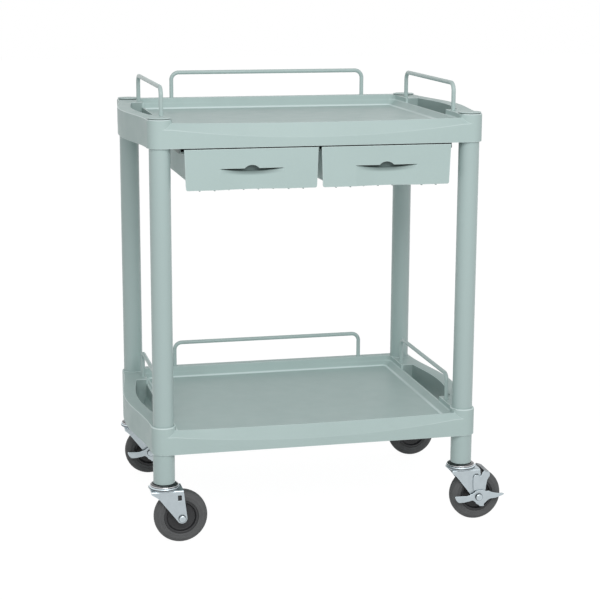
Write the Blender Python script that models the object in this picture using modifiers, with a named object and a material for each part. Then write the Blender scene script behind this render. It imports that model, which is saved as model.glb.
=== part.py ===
"""A plastic utility cart: two moulded trays on four posts, six rails, two drawers and four casters.

Metres, +Z up. The front faces -Y and left is -X. The origin is the middle of the outline, on the floor.
"""

import math

import bmesh
import bpy
from mathutils import Matrix, Vector

MM = 0.001

# Clearances, and how far a cutter runs past what it cuts
SEAT_GAP = 0.3 * MM
SLIDE_GAP = 0.3 * MM
OVERRUN = 2.0 * MM
SINK = 1.0 * MM

# Posts and legs, the posts standing clear of the drawers' fronts
POST_CLEARANCE = 21.6 * MM
POST_Y = 208.0 * MM
POST_RADIUS = 19.1 * MM
POST_WALL = 2.0 * MM
POST_SOCKET = 20.0 * MM
LEG_RADIUS = 20.0 * MM
LEG_BORE_RADIUS = 16.0 * MM
LEG_SOCKET = 24.0 * MM
LEG_FOOT = 115.5 * MM
LEG_EDGE = 1.5 * MM

# Trays, with heights measured down from the top of the corner bosses
LOWER_TRAY_TOP = 224.0 * MM
TRAY_HEIGHT = 51.0 * MM
TRAY_WALL = 3.0 * MM
BOSS_RADIUS = 22.8 * MM
END_BULGE = 22.0 * MM
FLOOR_DROP = 21.5 * MM
FOOT_FILLET = 3.0 * MM
WELL_END_RIM = 18.9 * MM
WELL_BACK_RIM = 18.8 * MM
WELL_END_SLOPE = 11.1 * MM
WELL_BACK_SLOPE = 4.5 * MM
WELL_SLOPE_TOP = 10.0 * MM
WELL_CORNER = 14.0 * MM
FOOT_CORNER = 8.0 * MM
FOOT_FRONT_CORNER = 4.0 * MM
LIP_MIDDLE_DROP = 8.5 * MM
LIP_END_DROP = 6.0 * MM
LIP_MIDDLE_WIDTH = 8.8 * MM
LIP_FOOT_WIDTH = 11.0 * MM
CRESCENT_MIDDLE_DROP = 34.5 * MM
CRESCENT_END_DROP = 17.4 * MM
GRIP_LENGTH = 250.0 * MM
GRIP_RIM = 3.0 * MM
GRIP_BAND = 25.3 * MM
RIB_THICKNESS = 2.4 * MM
RIB_DEPTH = 12.0 * MM
RIB_CLEARANCE = 34.3 * MM
RIB_COUNT = 4

# Caps on the top tray's bosses
CAP_RADIUS = 21.3 * MM
CAP_THICKNESS = 3.0 * MM
CAP_EDGE = 1.2 * MM
CAP_PLUG_RADIUS = 16.0 * MM
CAP_PLUG_DEPTH = 9.0 * MM

# Rails
RAIL_RADIUS = 4.0 * MM
RAIL_RISE = 50.6 * MM
RAIL_BEND = 15.0 * MM
RAIL_SOCKET = 18.0 * MM
BACK_RAIL_Y = 218.0 * MM
BACK_RAIL_INSET = 88.5 * MM
SIDE_RAIL_INSET = 12.3 * MM
SIDE_RAIL_HALF = 150.0 * MM

# Drawers, side by side and just under the top tray's skirt
DRAWER_GAP = 5.6 * MM
FRONT_WIDTH = 244.0 * MM
FRONT_TAPER = 2.7 * MM
FRONT_HEIGHT = 72.0 * MM
FRONT_TOP = 729.5 * MM
FRONT_CLEARANCE = 3.5 * MM
FRONT_FACE_Y = -228.0 * MM
FRONT_THICKNESS = 3.0 * MM
FRONT_CORNER = 4.0 * MM
FRONT_EDGE = 0.8 * MM
BOX_INSET = 23.5 * MM
BOX_LENGTH = 375.0 * MM
BOX_WALL = 2.5 * MM
BOX_CORNER = 6.0 * MM
FLANGE_WIDTH = 20.0 * MM
FLANGE_THICKNESS = 2.5 * MM
PULL_WIDTH = 115.0 * MM
PULL_LIP_DROP = 34.0 * MM
PULL_SETBACK = 8.0 * MM
PULL_POCKET_RISE = 12.0 * MM
PULL_POCKET_DEPTH = 12.0 * MM
PULL_WALL = 2.5 * MM
NOTCH_CHORD = 27.0 * MM
NOTCH_HEIGHT = 6.0 * MM
DRAWER_RIB_WIDTH = 1.6 * MM
DRAWER_RIB_HEIGHT = 1.0 * MM
DRAWER_RIB_SPACING = 27.0 * MM
DRAWER_RIB_COUNT = 8

# Drawer runners
RUNNER_LIP_DROP = 4.0 * MM
RUNNER_LIP_THICKNESS = 3.5 * MM
RUNNER_LIP_REACH = 16.0 * MM
RUNNER_SIDE_GAP = 5.0 * MM
RUNNER_WALL = 2.0 * MM
RUNNER_FLANGE = 22.0 * MM
RUNNER_SPLAY = 2.5 * MM
RUNNER_FRONT_Y = -214.0 * MM
RUNNER_STOP = 4.0 * MM

# Casters, placed from the leg's axis and trailing towards +X
WHEEL_RADIUS = 50.0 * MM
WHEEL_TRAIL = 29.5 * MM
TYRE_WIDTH = 30.0 * MM
TREAD_CROWN = 4.0 * MM
TYRE_SHOULDER = 9.0 * MM
HUB_RADIUS = 31.7 * MM
HUB_RIM = 4.0 * MM
HUB_RIM_WIDTH = 26.0 * MM
HUB_WEB = 12.0 * MM
HUB_BOSS_RADIUS = 11.0 * MM
AXLE_RADIUS = 4.0 * MM
AXLE_HEAD_RADIUS = 7.2 * MM
AXLE_HEAD = 4.5 * MM
FORK_GAP = 38.4 * MM
FORK_THICKNESS = 2.8 * MM
FORK_TOP = 105.0 * MM
FORK_REAR = 33.0 * MM
FORK_FRONT = 27.0 * MM
FORK_TIP_RADIUS = 9.5 * MM
FORK_FRONT_BREAK_X = -13.0 * MM
FORK_FRONT_BREAK_Z = 90.3 * MM
FORK_FRONT_CORNER_Z = 99.5 * MM
FORK_CORNER = 4.0 * MM
SLOT_X = 25.5 * MM
SLOT_Z = 90.0 * MM
SLOT_WIDTH = 7.0 * MM
SLOT_HEIGHT = 10.0 * MM
RACE_RADIUS = 27.8 * MM
RACE_TOP_RADIUS = 21.9 * MM
RACE_SPLIT = 110.9 * MM
RACE_EDGE = 1.5 * MM
RACE_GROOVE = 1.6 * MM
STEM_RADIUS = 8.0 * MM
STEM_LENGTH = 38.0 * MM
KINGPIN_RADIUS = 5.0 * MM
KINGPIN_HEAD_RADIUS = 8.5 * MM
KINGPIN_HEAD = 2.2 * MM

# Brake on the front right and rear left casters
BRAKE_THICKNESS = 2.0 * MM
SHOE_CLEARANCE = 0.9 * MM
SHOE_START = math.radians(66)
SHOE_END = math.radians(79)
PEDAL_THICKNESS = 2.2 * MM

SIDES = {"left": -1, "right": 1}
ENDS = {"front": -1, "rear": 1}
CORNERS = {f"{end}_{side}": (sx, sy) for end, sy in ENDS.items() for side, sx in SIDES.items()}
BRAKED = ("front_right", "rear_left")

# Facets round each kind of turned piece, and steps along the trays' curves
POST_FACETS = 20
CAP_FACETS = 20
RACE_FACETS = 16
WHEEL_FACETS = 24
AXLE_FACETS = 12
HOLE_FACETS = 10
CORNER_STEPS = 5
END_STEPS = 10
LIP_STEPS = 8
FILLET_STEPS = 3
BITE_STEPS = 5
TIP_STEPS = 4
GRIP_STEPS = 6
BOSS_STEPS = 8

DRAWER_X = (DRAWER_GAP + FRONT_WIDTH) / 2
POST_X = DRAWER_GAP / 2 + FRONT_WIDTH + POST_CLEARANCE + POST_RADIUS
UPPER_TRAY_TOP = FRONT_TOP + FRONT_CLEARANCE + TRAY_HEIGHT
RUNNER_LIP_TOP = FRONT_TOP - RUNNER_LIP_DROP
BACK_RAIL_HALF = POST_X - BACK_RAIL_INSET
SIDE_RAIL_X = POST_X - SIDE_RAIL_INSET
SKIRT_Y = POST_Y + BOSS_RADIUS
WELL_END = POST_X - WELL_END_RIM
WELL_BACK = SKIRT_Y - WELL_BACK_RIM
LIP_END_WIDTH = BOSS_RADIUS - math.sqrt(BOSS_RADIUS**2 - WELL_END_RIM**2)
GRIP_INNER = WELL_END + GRIP_RIM
FORK_OUTER = FORK_GAP / 2 + FORK_THICKNESS
FRONT_BOTTOM = FRONT_TOP - FRONT_HEIGHT
BOX_HALF = FRONT_WIDTH / 2 - BOX_INSET
BOX_REAR = FRONT_FACE_Y + BOX_LENGTH
RUNNER_EDGE = DRAWER_X + BOX_HALF + FLANGE_WIDTH + RUNNER_SIDE_GAP
RIB_SPACING = 2 * (RUNNER_EDGE - RUNNER_FLANGE - RIB_CLEARANCE) / (RIB_COUNT - 1)
SHOE_RADIUS = WHEEL_RADIUS + SHOE_CLEARANCE

# Brake outlines as shares of the wheel's radius, from the wheel's centre towards +X and up
PLATE_SHARES = (
    (-0.20, 0.25), (-0.22, 0.53), (-0.22, 0.78), (-0.18, 0.87), (-0.11, 0.89), (-0.03, 0.86),
    (0.04, 0.81), (0.10, 0.84), (0.14, 0.95), (0.21, 1.02), (0.31, 1.00), (0.42, 0.95),
    (0.45, 0.82), (0.34, 0.65), (0.30, 0.42), (0.28, 0.22),
)
PEDAL_SHARES = (
    (-0.97, 0.08), (-0.72, 0.07), (-0.48, 0.06), (-0.36, 0.09), (-0.20, 0.16), (-0.11, 0.24),
    (0.00, 0.27), (0.16, 0.27), (0.32, 0.21), (0.38, 0.23), (0.53, 0.15), (0.81, 0.09),
    (0.93, 0.10), (1.06, 0.05), (0.94, -0.01), (0.69, -0.08), (0.45, -0.10), (0.33, -0.18),
    (0.20, -0.31), (0.23, -0.38), (0.05, -0.38), (0.01, -0.32), (-0.09, -0.27), (-0.13, -0.20),
    (-0.24, -0.12), (-0.40, -0.16), (-0.60, -0.19), (-0.80, -0.19), (-0.90, -0.09),
)


def clear_scene():
    for obj in list(bpy.data.objects):
        bpy.data.objects.remove(obj, do_unlink=True)


def new_collection(name):
    collection = bpy.data.collections.new(name)
    bpy.context.scene.collection.children.link(collection)
    return collection


def new_material(name, colour, roughness, metallic=0.0):
    material = bpy.data.materials.new(name)
    material.use_nodes = True
    shader = material.node_tree.nodes["Principled BSDF"]
    shader.inputs["Base Color"].default_value = (*colour, 1.0)
    shader.inputs["Roughness"].default_value = roughness
    shader.inputs["Metallic"].default_value = metallic
    material.diffuse_color = (*colour, 1.0)
    return material


def add_object(name, data, collection=None, material=None, parent=None, location=(0, 0, 0)):
    """An object in the cart's collection, or a hidden cutter when no collection is given."""
    obj = bpy.data.objects.new(name, data)
    obj.location = location
    obj.parent = parent
    if collection is None:
        CUTTERS.objects.link(obj)
        obj.hide_render = True
        obj.display_type = "WIRE"
    else:
        collection.objects.link(obj)
    if material is not None:
        data.materials.append(material)
    return obj


def keep_as_node(obj, name, material):
    """Moves a finished shape from the cutters into the cart."""
    CUTTERS.objects.unlink(obj)
    CART.objects.link(obj)
    obj.name = name
    obj.hide_render = False
    obj.display_type = "TEXTURED"
    obj.data.materials.append(material)


def add_empty(name, parent=None, location=(0, 0, 0)):
    return add_object(name, None, CART, parent=parent, location=location)


def apply_modifiers(obj):
    """Replaces the object's mesh by its evaluated one, with flat faces merged and slivers removed."""
    bpy.context.view_layer.update()
    graph = bpy.context.evaluated_depsgraph_get()
    mesh = bpy.data.meshes.new_from_object(obj.evaluated_get(graph))
    obj.modifiers.clear()
    obj.data = mesh
    work = bmesh.new()
    work.from_mesh(mesh)
    bmesh.ops.remove_doubles(work, verts=work.verts, dist=0.01 * MM)
    bmesh.ops.dissolve_degenerate(work, edges=work.edges, dist=0.01 * MM)
    bmesh.ops.dissolve_limit(
        work, angle_limit=math.radians(0.05), verts=work.verts, edges=work.edges
    )
    bmesh.ops.triangulate(work, faces=work.faces)
    work.to_mesh(mesh)
    work.free()


def combine(obj, other, operation, solver="EXACT"):
    modifier = obj.modifiers.new(f"{operation.lower()}_{other.name}", "BOOLEAN")
    modifier.operation = operation
    modifier.solver = solver
    modifier.object = other


def cut(obj, *cutters, solver="EXACT"):
    for cutter in cutters:
        combine(obj, cutter, "DIFFERENCE", solver)


def join(obj, *others):
    for other in others:
        combine(obj, other, "UNION")


def soften(obj, width, angle=math.radians(40)):
    """Rounds the edges that turn by more than the angle."""
    bevel = obj.modifiers.new("soft_edges", "BEVEL")
    bevel.width = width
    bevel.segments = 1
    bevel.limit_method = "ANGLE"
    bevel.angle_limit = angle


def shade(obj, angle=math.radians(35)):
    obj.data.shade_smooth()
    obj.data.set_sharp_from_angle(angle=angle)


def arc(centre, radius, start, end, steps):
    """Points on a circle from one angle to another."""
    turns = [start + (end - start) * step / steps for step in range(steps + 1)]
    return [(centre[0] + radius * math.cos(a), centre[1] + radius * math.sin(a)) for a in turns]


def rounded(corners, steps=4):
    """A closed outline through (x, y, radius) corners, each rounded to its own radius."""
    points = []
    for index, (x, y, radius) in enumerate(corners):
        here = Vector((x, y))
        before = (Vector(corners[index - 1][:2]) - here).normalized()
        after = (Vector(corners[(index + 1) % len(corners)][:2]) - here).normalized()
        if radius == 0:
            points.append((x, y))
            continue
        half = before.angle(after) / 2
        centre = here + (before + after).normalized() * radius / math.sin(half)
        first = here + before * radius / math.tan(half) - centre
        last = here + after * radius / math.tan(half) - centre
        turn = first.angle_signed(last)
        for step in range(steps + 1):
            angle = -turn * step / steps
            spoke = Matrix.Rotation(angle, 2) @ first
            points.append(tuple(centre + spoke))
    return points


def slab(name, outlines, low, high, **placing):
    """Flat outlines extruded from low to high. An outline inside another is a hole."""
    curve = bpy.data.curves.new(name, "CURVE")
    curve.dimensions = "2D"
    curve.fill_mode = "BOTH"
    curve.extrude = (high - low) / 2
    for outline in outlines:
        spline = curve.splines.new("POLY")
        spline.points.add(len(outline) - 1)
        spline.use_cyclic_u = True
        for point, (x, y) in zip(spline.points, outline):
            point.co = (x, y, 0, 1)
    helper = bpy.data.objects.new(name + "_outline", curve)
    CUTTERS.objects.link(helper)
    bpy.context.view_layer.update()
    graph = bpy.context.evaluated_depsgraph_get()
    mesh = bpy.data.meshes.new_from_object(helper.evaluated_get(graph))
    bpy.data.objects.remove(helper, do_unlink=True)
    work = bmesh.new()
    work.from_mesh(mesh)
    bmesh.ops.remove_doubles(work, verts=work.verts, dist=0.01 * MM)
    bmesh.ops.translate(work, verts=work.verts, vec=(0, 0, (low + high) / 2))
    bmesh.ops.recalc_face_normals(work, faces=work.faces)
    work.to_mesh(mesh)
    work.free()
    return add_object(name, mesh, **placing)


def stand_up(obj):
    """Turns a slab drawn in X and Y into one in X and Z, its thickness along -Y to +Y."""
    obj.data.transform(Matrix.Rotation(math.radians(90), 4, "X"))
    return obj


def side_slab(name, outline, low_y, high_y, **placing):
    """A slab drawn in X and Z that reaches from low_y to high_y."""
    return stand_up(slab(name, [outline], -high_y, -low_y, **placing))


def box(name, low, high, **placing):
    mesh = bpy.data.meshes.new(name)
    work = bmesh.new()
    bmesh.ops.create_cube(work, size=1.0)
    size = [b - a for a, b in zip(low, high)]
    middle = [(a + b) / 2 for a, b in zip(low, high)]
    bmesh.ops.scale(work, verts=work.verts, vec=size)
    bmesh.ops.translate(work, verts=work.verts, vec=middle)
    work.to_mesh(mesh)
    work.free()
    return add_object(name, mesh, **placing)


def rod(name, radius, start, end, facets=HOLE_FACETS, **placing):
    """A cylinder between two points."""
    start, end = Vector(start), Vector(end)
    mesh = bpy.data.meshes.new(name)
    work = bmesh.new()
    depth = (end - start).length
    bmesh.ops.create_cone(
        work, cap_ends=True, segments=facets, radius1=radius, radius2=radius, depth=depth
    )
    turn = (end - start).to_track_quat("Z", "Y").to_matrix().to_4x4()
    bmesh.ops.transform(work, verts=work.verts, matrix=turn)
    bmesh.ops.translate(work, verts=work.verts, vec=(start + end) / 2)
    work.to_mesh(mesh)
    work.free()
    return add_object(name, mesh, **placing)


def turned(name, profile, facets, closed=False, **placing):
    """A profile of (radius, height) points, top to bottom on the outside, turned about Z."""
    mesh = bpy.data.meshes.new(name)
    count = len(profile)
    edges = [(index, index + 1) for index in range(count - 1)]
    if closed:
        edges.append((count - 1, 0))
    mesh.from_pydata([(radius, 0, height) for radius, height in profile], edges, [])
    obj = add_object(name, mesh, **placing)
    screw = obj.modifiers.new("turn", "SCREW")
    screw.steps = facets
    screw.render_steps = facets
    screw.use_merge_vertices = True
    screw.merge_threshold = 0.05 * MM
    apply_modifiers(obj)
    shade(obj)
    return obj


def turned_across(name, profile, facets, closed=False, **placing):
    """A profile of (radius, y) points turned about Y."""
    obj = turned(name, profile, facets, closed, **placing)
    obj.data.transform(Matrix.Rotation(math.radians(90), 4, "X"))
    return obj


def loft(name, sections, **placing):
    """A closed skin over sections that hold equally many points, with flat ends."""
    mesh = bpy.data.meshes.new(name)
    work = bmesh.new()
    rings = [[work.verts.new(point) for point in section] for section in sections]
    for lower, upper in zip(rings, rings[1:]):
        for index in range(len(lower)):
            after = (index + 1) % len(lower)
            work.faces.new((lower[index], lower[after], upper[after], upper[index]))
    work.faces.new(reversed(rings[0]))
    work.faces.new(rings[-1])
    bmesh.ops.recalc_face_normals(work, faces=work.faces)
    work.to_mesh(mesh)
    work.free()
    return add_object(name, mesh, **placing)


def end_bulge(y, inset=0.0):
    """How far out the tray's end face stands at y: a cosine swell between the bosses."""
    swell = END_BULGE * 0.5 * (1 + math.cos(math.pi * y / POST_Y))
    return POST_X + BOSS_RADIUS - inset + swell


def end_curve(side, low_y, high_y, inset, steps=END_STEPS):
    """Points up the tray's end face, from low_y to high_y, drawn inwards by inset."""
    heights = [low_y + (high_y - low_y) * step / steps for step in range(steps + 1)]
    return [(side * end_bulge(y, inset), y) for y in heights]


def tray_outline():
    points = []
    for side, start in ((1, -math.pi / 2), (-1, math.pi / 2)):
        first = (side * POST_X, -side * POST_Y)
        last = (side * POST_X, side * POST_Y)
        points += arc(first, BOSS_RADIUS, start, start + math.pi / 2, CORNER_STEPS)
        points += end_curve(side, -side * POST_Y, side * POST_Y, 0.0)[1:-1]
        points += arc(last, BOSS_RADIUS, start + math.pi / 2, start + math.pi, CORNER_STEPS)
    return points


def along_lip(x, middle, end):
    """A size that changes along the front lip, from its middle to where it meets the bosses."""
    return middle + (end - middle) * (x / WELL_END) ** 2


def lip_inner_y(x):
    """The front lip's inner edge: furthest forward in the middle."""
    return -SKIRT_Y + along_lip(x, LIP_MIDDLE_WIDTH, LIP_END_WIDTH)


def boss_bite(end_y):
    """Round the side of a front boss that stands in the well, from the lip to the end wall."""
    swing = math.asin(end_y / BOSS_RADIUS)
    return arc((POST_X, -POST_Y), BOSS_RADIUS, math.pi + swing, math.pi - swing, BITE_STEPS)


def well_outline(end_inset, back_inset, front_inset, corner, height):
    """One level of the well: straight back and ends, bowed front, rounded corners.

    The walls' rim goes round the front bosses, and the foot inside it has small front corners.
    """
    end = WELL_END - end_inset
    back = WELL_BACK - back_inset
    reach = end if front_inset == 0 else end - FOOT_FRONT_CORNER
    xs = [reach * (2 * step / LIP_STEPS - 1) for step in range(LIP_STEPS + 1)]
    front = [(x, lip_inner_y(x * WELL_END / reach) + front_inset) for x in xs]
    turn = math.pi / 2
    if front_inset == 0:
        right = boss_bite(BOSS_RADIUS - LIP_END_WIDTH)
    else:
        centre = (reach, front[-1][1] + FOOT_FRONT_CORNER)
        right = arc(centre, FOOT_FRONT_CORNER, -turn, 0, BITE_STEPS)
    left = [(-x, y) for x, y in reversed(right)]
    points = front + right[1:]
    points += arc((end - corner, back - corner), corner, 0, turn, FILLET_STEPS)
    points += arc((corner - end, back - corner), corner, turn, 2 * turn, FILLET_STEPS)
    points += left[:-1]
    return [(x, y, height) for x, y in points]


def well_cutter(name):
    """The tray's well: sloping sides above a rounded foot."""
    fillet = FOOT_FILLET
    rise = FLOOR_DROP - WELL_SLOPE_TOP
    levels = []
    for inset, height in ((fillet, 0.0), (0.0, fillet)):
        climbed = height / rise
        levels.append(
            well_outline(
                WELL_END_SLOPE * (1 - climbed) + inset,
                WELL_BACK_SLOPE + inset,
                LIP_FOOT_WIDTH * (1 - climbed) + inset,
                FOOT_CORNER,
                height - FLOOR_DROP,
            )
        )
    levels.append(well_outline(0.0, WELL_BACK_SLOPE / 2, 0.0, WELL_CORNER, -WELL_SLOPE_TOP))
    levels.append(well_outline(0.0, 0.0, 0.0, WELL_CORNER, OVERRUN))
    return loft(name, levels)


def crescent_section(x):
    """One section of the cut that leaves the slanted crescent on the lip and round the bosses."""
    reach = min(abs(x), WELL_END)
    lip = along_lip(reach, LIP_MIDDLE_DROP, LIP_END_DROP)
    drop = along_lip(reach, CRESCENT_MIDDLE_DROP, CRESCENT_END_DROP)
    slope = (drop - lip) / (SKIRT_Y + lip_inner_y(reach))
    outer = -SKIRT_Y - OVERRUN
    if reach < abs(x):
        inner = -POST_Y - math.sqrt(BOSS_RADIUS**2 - (POST_X - abs(x)) ** 2)
    else:
        inner = lip_inner_y(x) + SINK
    return [
        (x, inner, OVERRUN),
        (x, inner, slope * (inner + SKIRT_Y) - drop),
        (x, outer, -slope * OVERRUN - drop),
        (x, outer, OVERRUN),
    ]


def crescent_cutter(name):
    lip = [WELL_END * (2 * step / LIP_STEPS - 1) for step in range(LIP_STEPS + 1)]
    round_boss = WELL_END_RIM / TIP_STEPS
    tip = [WELL_END + round_boss * step for step in range(1, TIP_STEPS + 1)]
    xs = [-x for x in reversed(tip)] + lip + tip
    return loft(name, [crescent_section(x) for x in xs])


def grip_outline(side, margin=0.0):
    """The hand hole in a tray's end, grown by the margin."""
    half = GRIP_LENGTH / 2 + margin
    inner = GRIP_INNER - margin
    points = end_curve(side, -side * half, side * half, GRIP_BAND - margin, GRIP_STEPS)
    return [*points, (side * inner, side * half), (side * inner, -side * half)]


def boss_arc(sx, sy, y_wall):
    """Round the inner side of one boss, from the wall along the front or back to the end wall."""
    from_y = math.acos((BOSS_RADIUS - y_wall) / BOSS_RADIUS)
    from_x = math.acos((BOSS_RADIUS - TRAY_WALL) / BOSS_RADIUS)
    swept = arc((0, 0), BOSS_RADIUS, math.pi / 2 + from_y, 2 * math.pi - from_x, BOSS_STEPS)
    return [(sx * (POST_X + x), sy * (POST_Y + y)) for x, y in swept]


def underside_outline(front_wall):
    """The hollow under the tray, which goes round the inner side of each boss."""
    reach = POST_Y - math.sqrt(BOSS_RADIUS**2 - (BOSS_RADIUS - TRAY_WALL) ** 2)
    right = end_curve(1, -reach, reach, TRAY_WALL)[1:-1]
    left = end_curve(-1, reach, -reach, TRAY_WALL)[1:-1]
    points = boss_arc(1, -1, front_wall) + right
    points += boss_arc(1, 1, TRAY_WALL)[::-1] + boss_arc(-1, 1, TRAY_WALL)
    return points + left + boss_arc(-1, -1, front_wall)[::-1]


def band_hollow(name, side):
    """The hollow inside a tray's end band, outside its hand hole."""
    half = GRIP_LENGTH / 2
    wall = TRAY_WALL + SINK
    outer = end_curve(side, -side * half, side * half, wall, GRIP_STEPS)
    inner = end_curve(side, side * half, -side * half, GRIP_BAND - wall, GRIP_STEPS)
    return slab(name, [outer + inner], -FLOOR_DROP - TRAY_WALL - SINK, -TRAY_WALL)


def rail_ends():
    """Each rail's name, middle, direction and half length, from the middle of the tray."""
    return (
        ("back", Vector((0, BACK_RAIL_Y, 0)), Vector((1, 0, 0)), BACK_RAIL_HALF),
        ("left", Vector((-SIDE_RAIL_X, 0, 0)), Vector((0, 1, 0)), SIDE_RAIL_HALF),
        ("right", Vector((SIDE_RAIL_X, 0, 0)), Vector((0, 1, 0)), SIDE_RAIL_HALF),
    )


def make_tray(name, top, post_above):
    """A moulded tray: the lower one takes posts above and legs below, the top one caps and posts."""
    tray = slab(
        name,
        [tray_outline()],
        -TRAY_HEIGHT,
        0.0,
        collection=CART,
        material=PLASTIC,
        parent=ROOT,
        location=(0, 0, top),
    )
    cutters = [well_cutter(f"{name}_well"), crescent_cutter(f"{name}_crescent")]
    holes = [grip_outline(side, TRAY_WALL) for side in (1, -1)]
    ceiling = -FLOOR_DROP - TRAY_WALL
    step = -CRESCENT_MIDDLE_DROP - TRAY_WALL
    wide = LIP_MIDDLE_WIDTH + TRAY_WALL
    skirt = [underside_outline(TRAY_WALL), *holes]
    cutters.append(slab(f"{name}_skirt_hollow", skirt, -TRAY_HEIGHT - OVERRUN, step))
    upper = [underside_outline(wide), *holes]
    cutters.append(slab(f"{name}_floor_hollow", upper, step - SINK, ceiling))
    for side_name, side in SIDES.items():
        cutters.append(band_hollow(f"{name}_band_{side_name}", side))
        cutters.append(
            slab(
                f"{name}_grip_{side_name}",
                [grip_outline(side)],
                -TRAY_HEIGHT - OVERRUN,
                OVERRUN,
            )
        )
        low_x, high_x = sorted((side * (WELL_END - SINK), side * (GRIP_INNER + SINK)))
        cutters.append(
            box(
                f"{name}_grip_rim_{side_name}",
                (low_x, -GRIP_LENGTH / 2, -WELL_SLOPE_TOP),
                (high_x, GRIP_LENGTH / 2, OVERRUN),
            )
        )
    sockets = []
    upper_radius = POST_RADIUS if post_above else CAP_PLUG_RADIUS
    upper_depth = POST_SOCKET if post_above else CAP_PLUG_DEPTH + SEAT_GAP
    lower_radius = LEG_RADIUS if post_above else POST_RADIUS
    lower_depth = LEG_SOCKET if post_above else TRAY_HEIGHT - POST_SOCKET
    for corner, (sx, sy) in CORNERS.items():
        x, y = sx * POST_X, sy * POST_Y
        sockets.append(
            rod(
                f"{name}_upper_socket_{corner}",
                upper_radius + SEAT_GAP,
                (x, y, -upper_depth),
                (x, y, OVERRUN),
                POST_FACETS,
            )
        )
        sockets.append(
            rod(
                f"{name}_lower_socket_{corner}",
                lower_radius + SEAT_GAP,
                (x, y, -TRAY_HEIGHT - OVERRUN),
                (x, y, lower_depth - TRAY_HEIGHT),
                POST_FACETS,
            )
        )
    for rail, middle, along, half in rail_ends():
        for end in (-1, 1):
            foot = middle + along * end * half
            sockets.append(
                rod(
                    f"{name}_hole_{rail}_{end}",
                    RAIL_RADIUS + SEAT_GAP,
                    foot + Vector((0, 0, -RAIL_SOCKET - SEAT_GAP)),
                    foot + Vector((0, 0, OVERRUN)),
                    HOLE_FACETS,
                )
            )
    for cutter in cutters + sockets:
        cutter.location = (0, 0, top)
        cutter.parent = ROOT
    cut(tray, *cutters)
    apply_modifiers(tray)
    cut(tray, *sockets, solver="MANIFOLD")
    apply_modifiers(tray)
    for index in range(RIB_COUNT):
        x = (index - (RIB_COUNT - 1) / 2) * RIB_SPACING
        rib = box(
            f"{name}_rib_{index}",
            (x - RIB_THICKNESS / 2, -SKIRT_Y + wide - SINK, ceiling - RIB_DEPTH),
            (x + RIB_THICKNESS / 2, SKIRT_Y - TRAY_WALL + SINK, ceiling + SINK),
            parent=ROOT,
            location=(0, 0, top),
        )
        join(tray, rib)
    apply_modifiers(tray)
    shade(tray)
    return tray


def make_caps():
    for corner, (sx, sy) in CORNERS.items():
        turned(
            f"post_cap_{corner}",
            [
                (0, CAP_THICKNESS),
                (CAP_RADIUS - CAP_EDGE, CAP_THICKNESS),
                (CAP_RADIUS, CAP_THICKNESS - CAP_EDGE),
                (CAP_RADIUS, SEAT_GAP),
                (CAP_PLUG_RADIUS, SEAT_GAP),
                (CAP_PLUG_RADIUS, -CAP_PLUG_DEPTH),
                (0, -CAP_PLUG_DEPTH),
            ],
            CAP_FACETS,
            collection=CART,
            material=PLASTIC,
            parent=ROOT,
            location=(sx * POST_X, sy * POST_Y, UPPER_TRAY_TOP),
        )


def make_posts():
    """Tubes seated in the lower tray's bosses and up inside the top tray's."""
    low = LOWER_TRAY_TOP - POST_SOCKET + SEAT_GAP
    high = UPPER_TRAY_TOP - POST_SOCKET - SEAT_GAP
    inner = POST_RADIUS - POST_WALL
    profile = [(POST_RADIUS, high), (POST_RADIUS, low), (inner, low), (inner, high)]
    for corner, (sx, sy) in CORNERS.items():
        turned(
            f"post_{corner}",
            profile,
            POST_FACETS,
            closed=True,
            collection=CART,
            material=POST_PAINT,
            parent=ROOT,
            location=(sx * POST_X, sy * POST_Y, 0),
        )


def make_legs():
    """Sleeves under the lower tray, with a narrower socket at the foot for the caster's stem."""
    high = LOWER_TRAY_TOP - TRAY_HEIGHT + LEG_SOCKET - SEAT_GAP
    socket_top = LEG_FOOT + STEM_LENGTH + SEAT_GAP
    socket = STEM_RADIUS + SEAT_GAP
    profile = [
        (LEG_RADIUS, high),
        (LEG_RADIUS, LEG_FOOT + LEG_EDGE),
        (LEG_RADIUS - LEG_EDGE, LEG_FOOT),
        (socket, LEG_FOOT),
        (socket, socket_top),
        (LEG_BORE_RADIUS, socket_top),
        (LEG_BORE_RADIUS, high),
    ]
    for corner, (sx, sy) in CORNERS.items():
        turned(
            f"leg_{corner}",
            profile,
            POST_FACETS,
            closed=True,
            collection=CART,
            material=POST_PAINT,
            parent=ROOT,
            location=(sx * POST_X, sy * POST_Y, 0),
        )


def make_rail(name, middle, along, half, top):
    """A bent rod whose two legs stand in the tray's holes."""
    up = Vector((0, 0, 1))
    path = [middle + along * -half - up * RAIL_SOCKET]
    for end, start_angle in ((-1, math.pi), (1, math.pi / 2)):
        centre = middle + along * end * (half - RAIL_BEND) + up * (RAIL_RISE - RAIL_BEND)
        for across, rise in arc((0, 0), RAIL_BEND, start_angle, start_angle - math.pi / 2, 4):
            path.append(centre + along * across + up * rise)
    path.append(middle + along * half - up * RAIL_SOCKET)
    curve = bpy.data.curves.new(name, "CURVE")
    curve.dimensions = "3D"
    curve.bevel_depth = RAIL_RADIUS
    curve.bevel_resolution = 2
    curve.use_fill_caps = True
    spline = curve.splines.new("POLY")
    spline.points.add(len(path) - 1)
    for point, place in zip(spline.points, path):
        point.co = (*place, 1)
    spline.use_smooth = True
    add_object(
        name,
        curve,
        collection=CART,
        material=RAIL_PAINT,
        parent=ROOT,
        location=(0, 0, top),
    )


def make_rails():
    for level, top in (("top", UPPER_TRAY_TOP), ("bottom", LOWER_TRAY_TOP)):
        for rail, middle, along, half in rail_ends():
            make_rail(f"{level}_rail_{rail}", middle, along, half, top)


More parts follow.
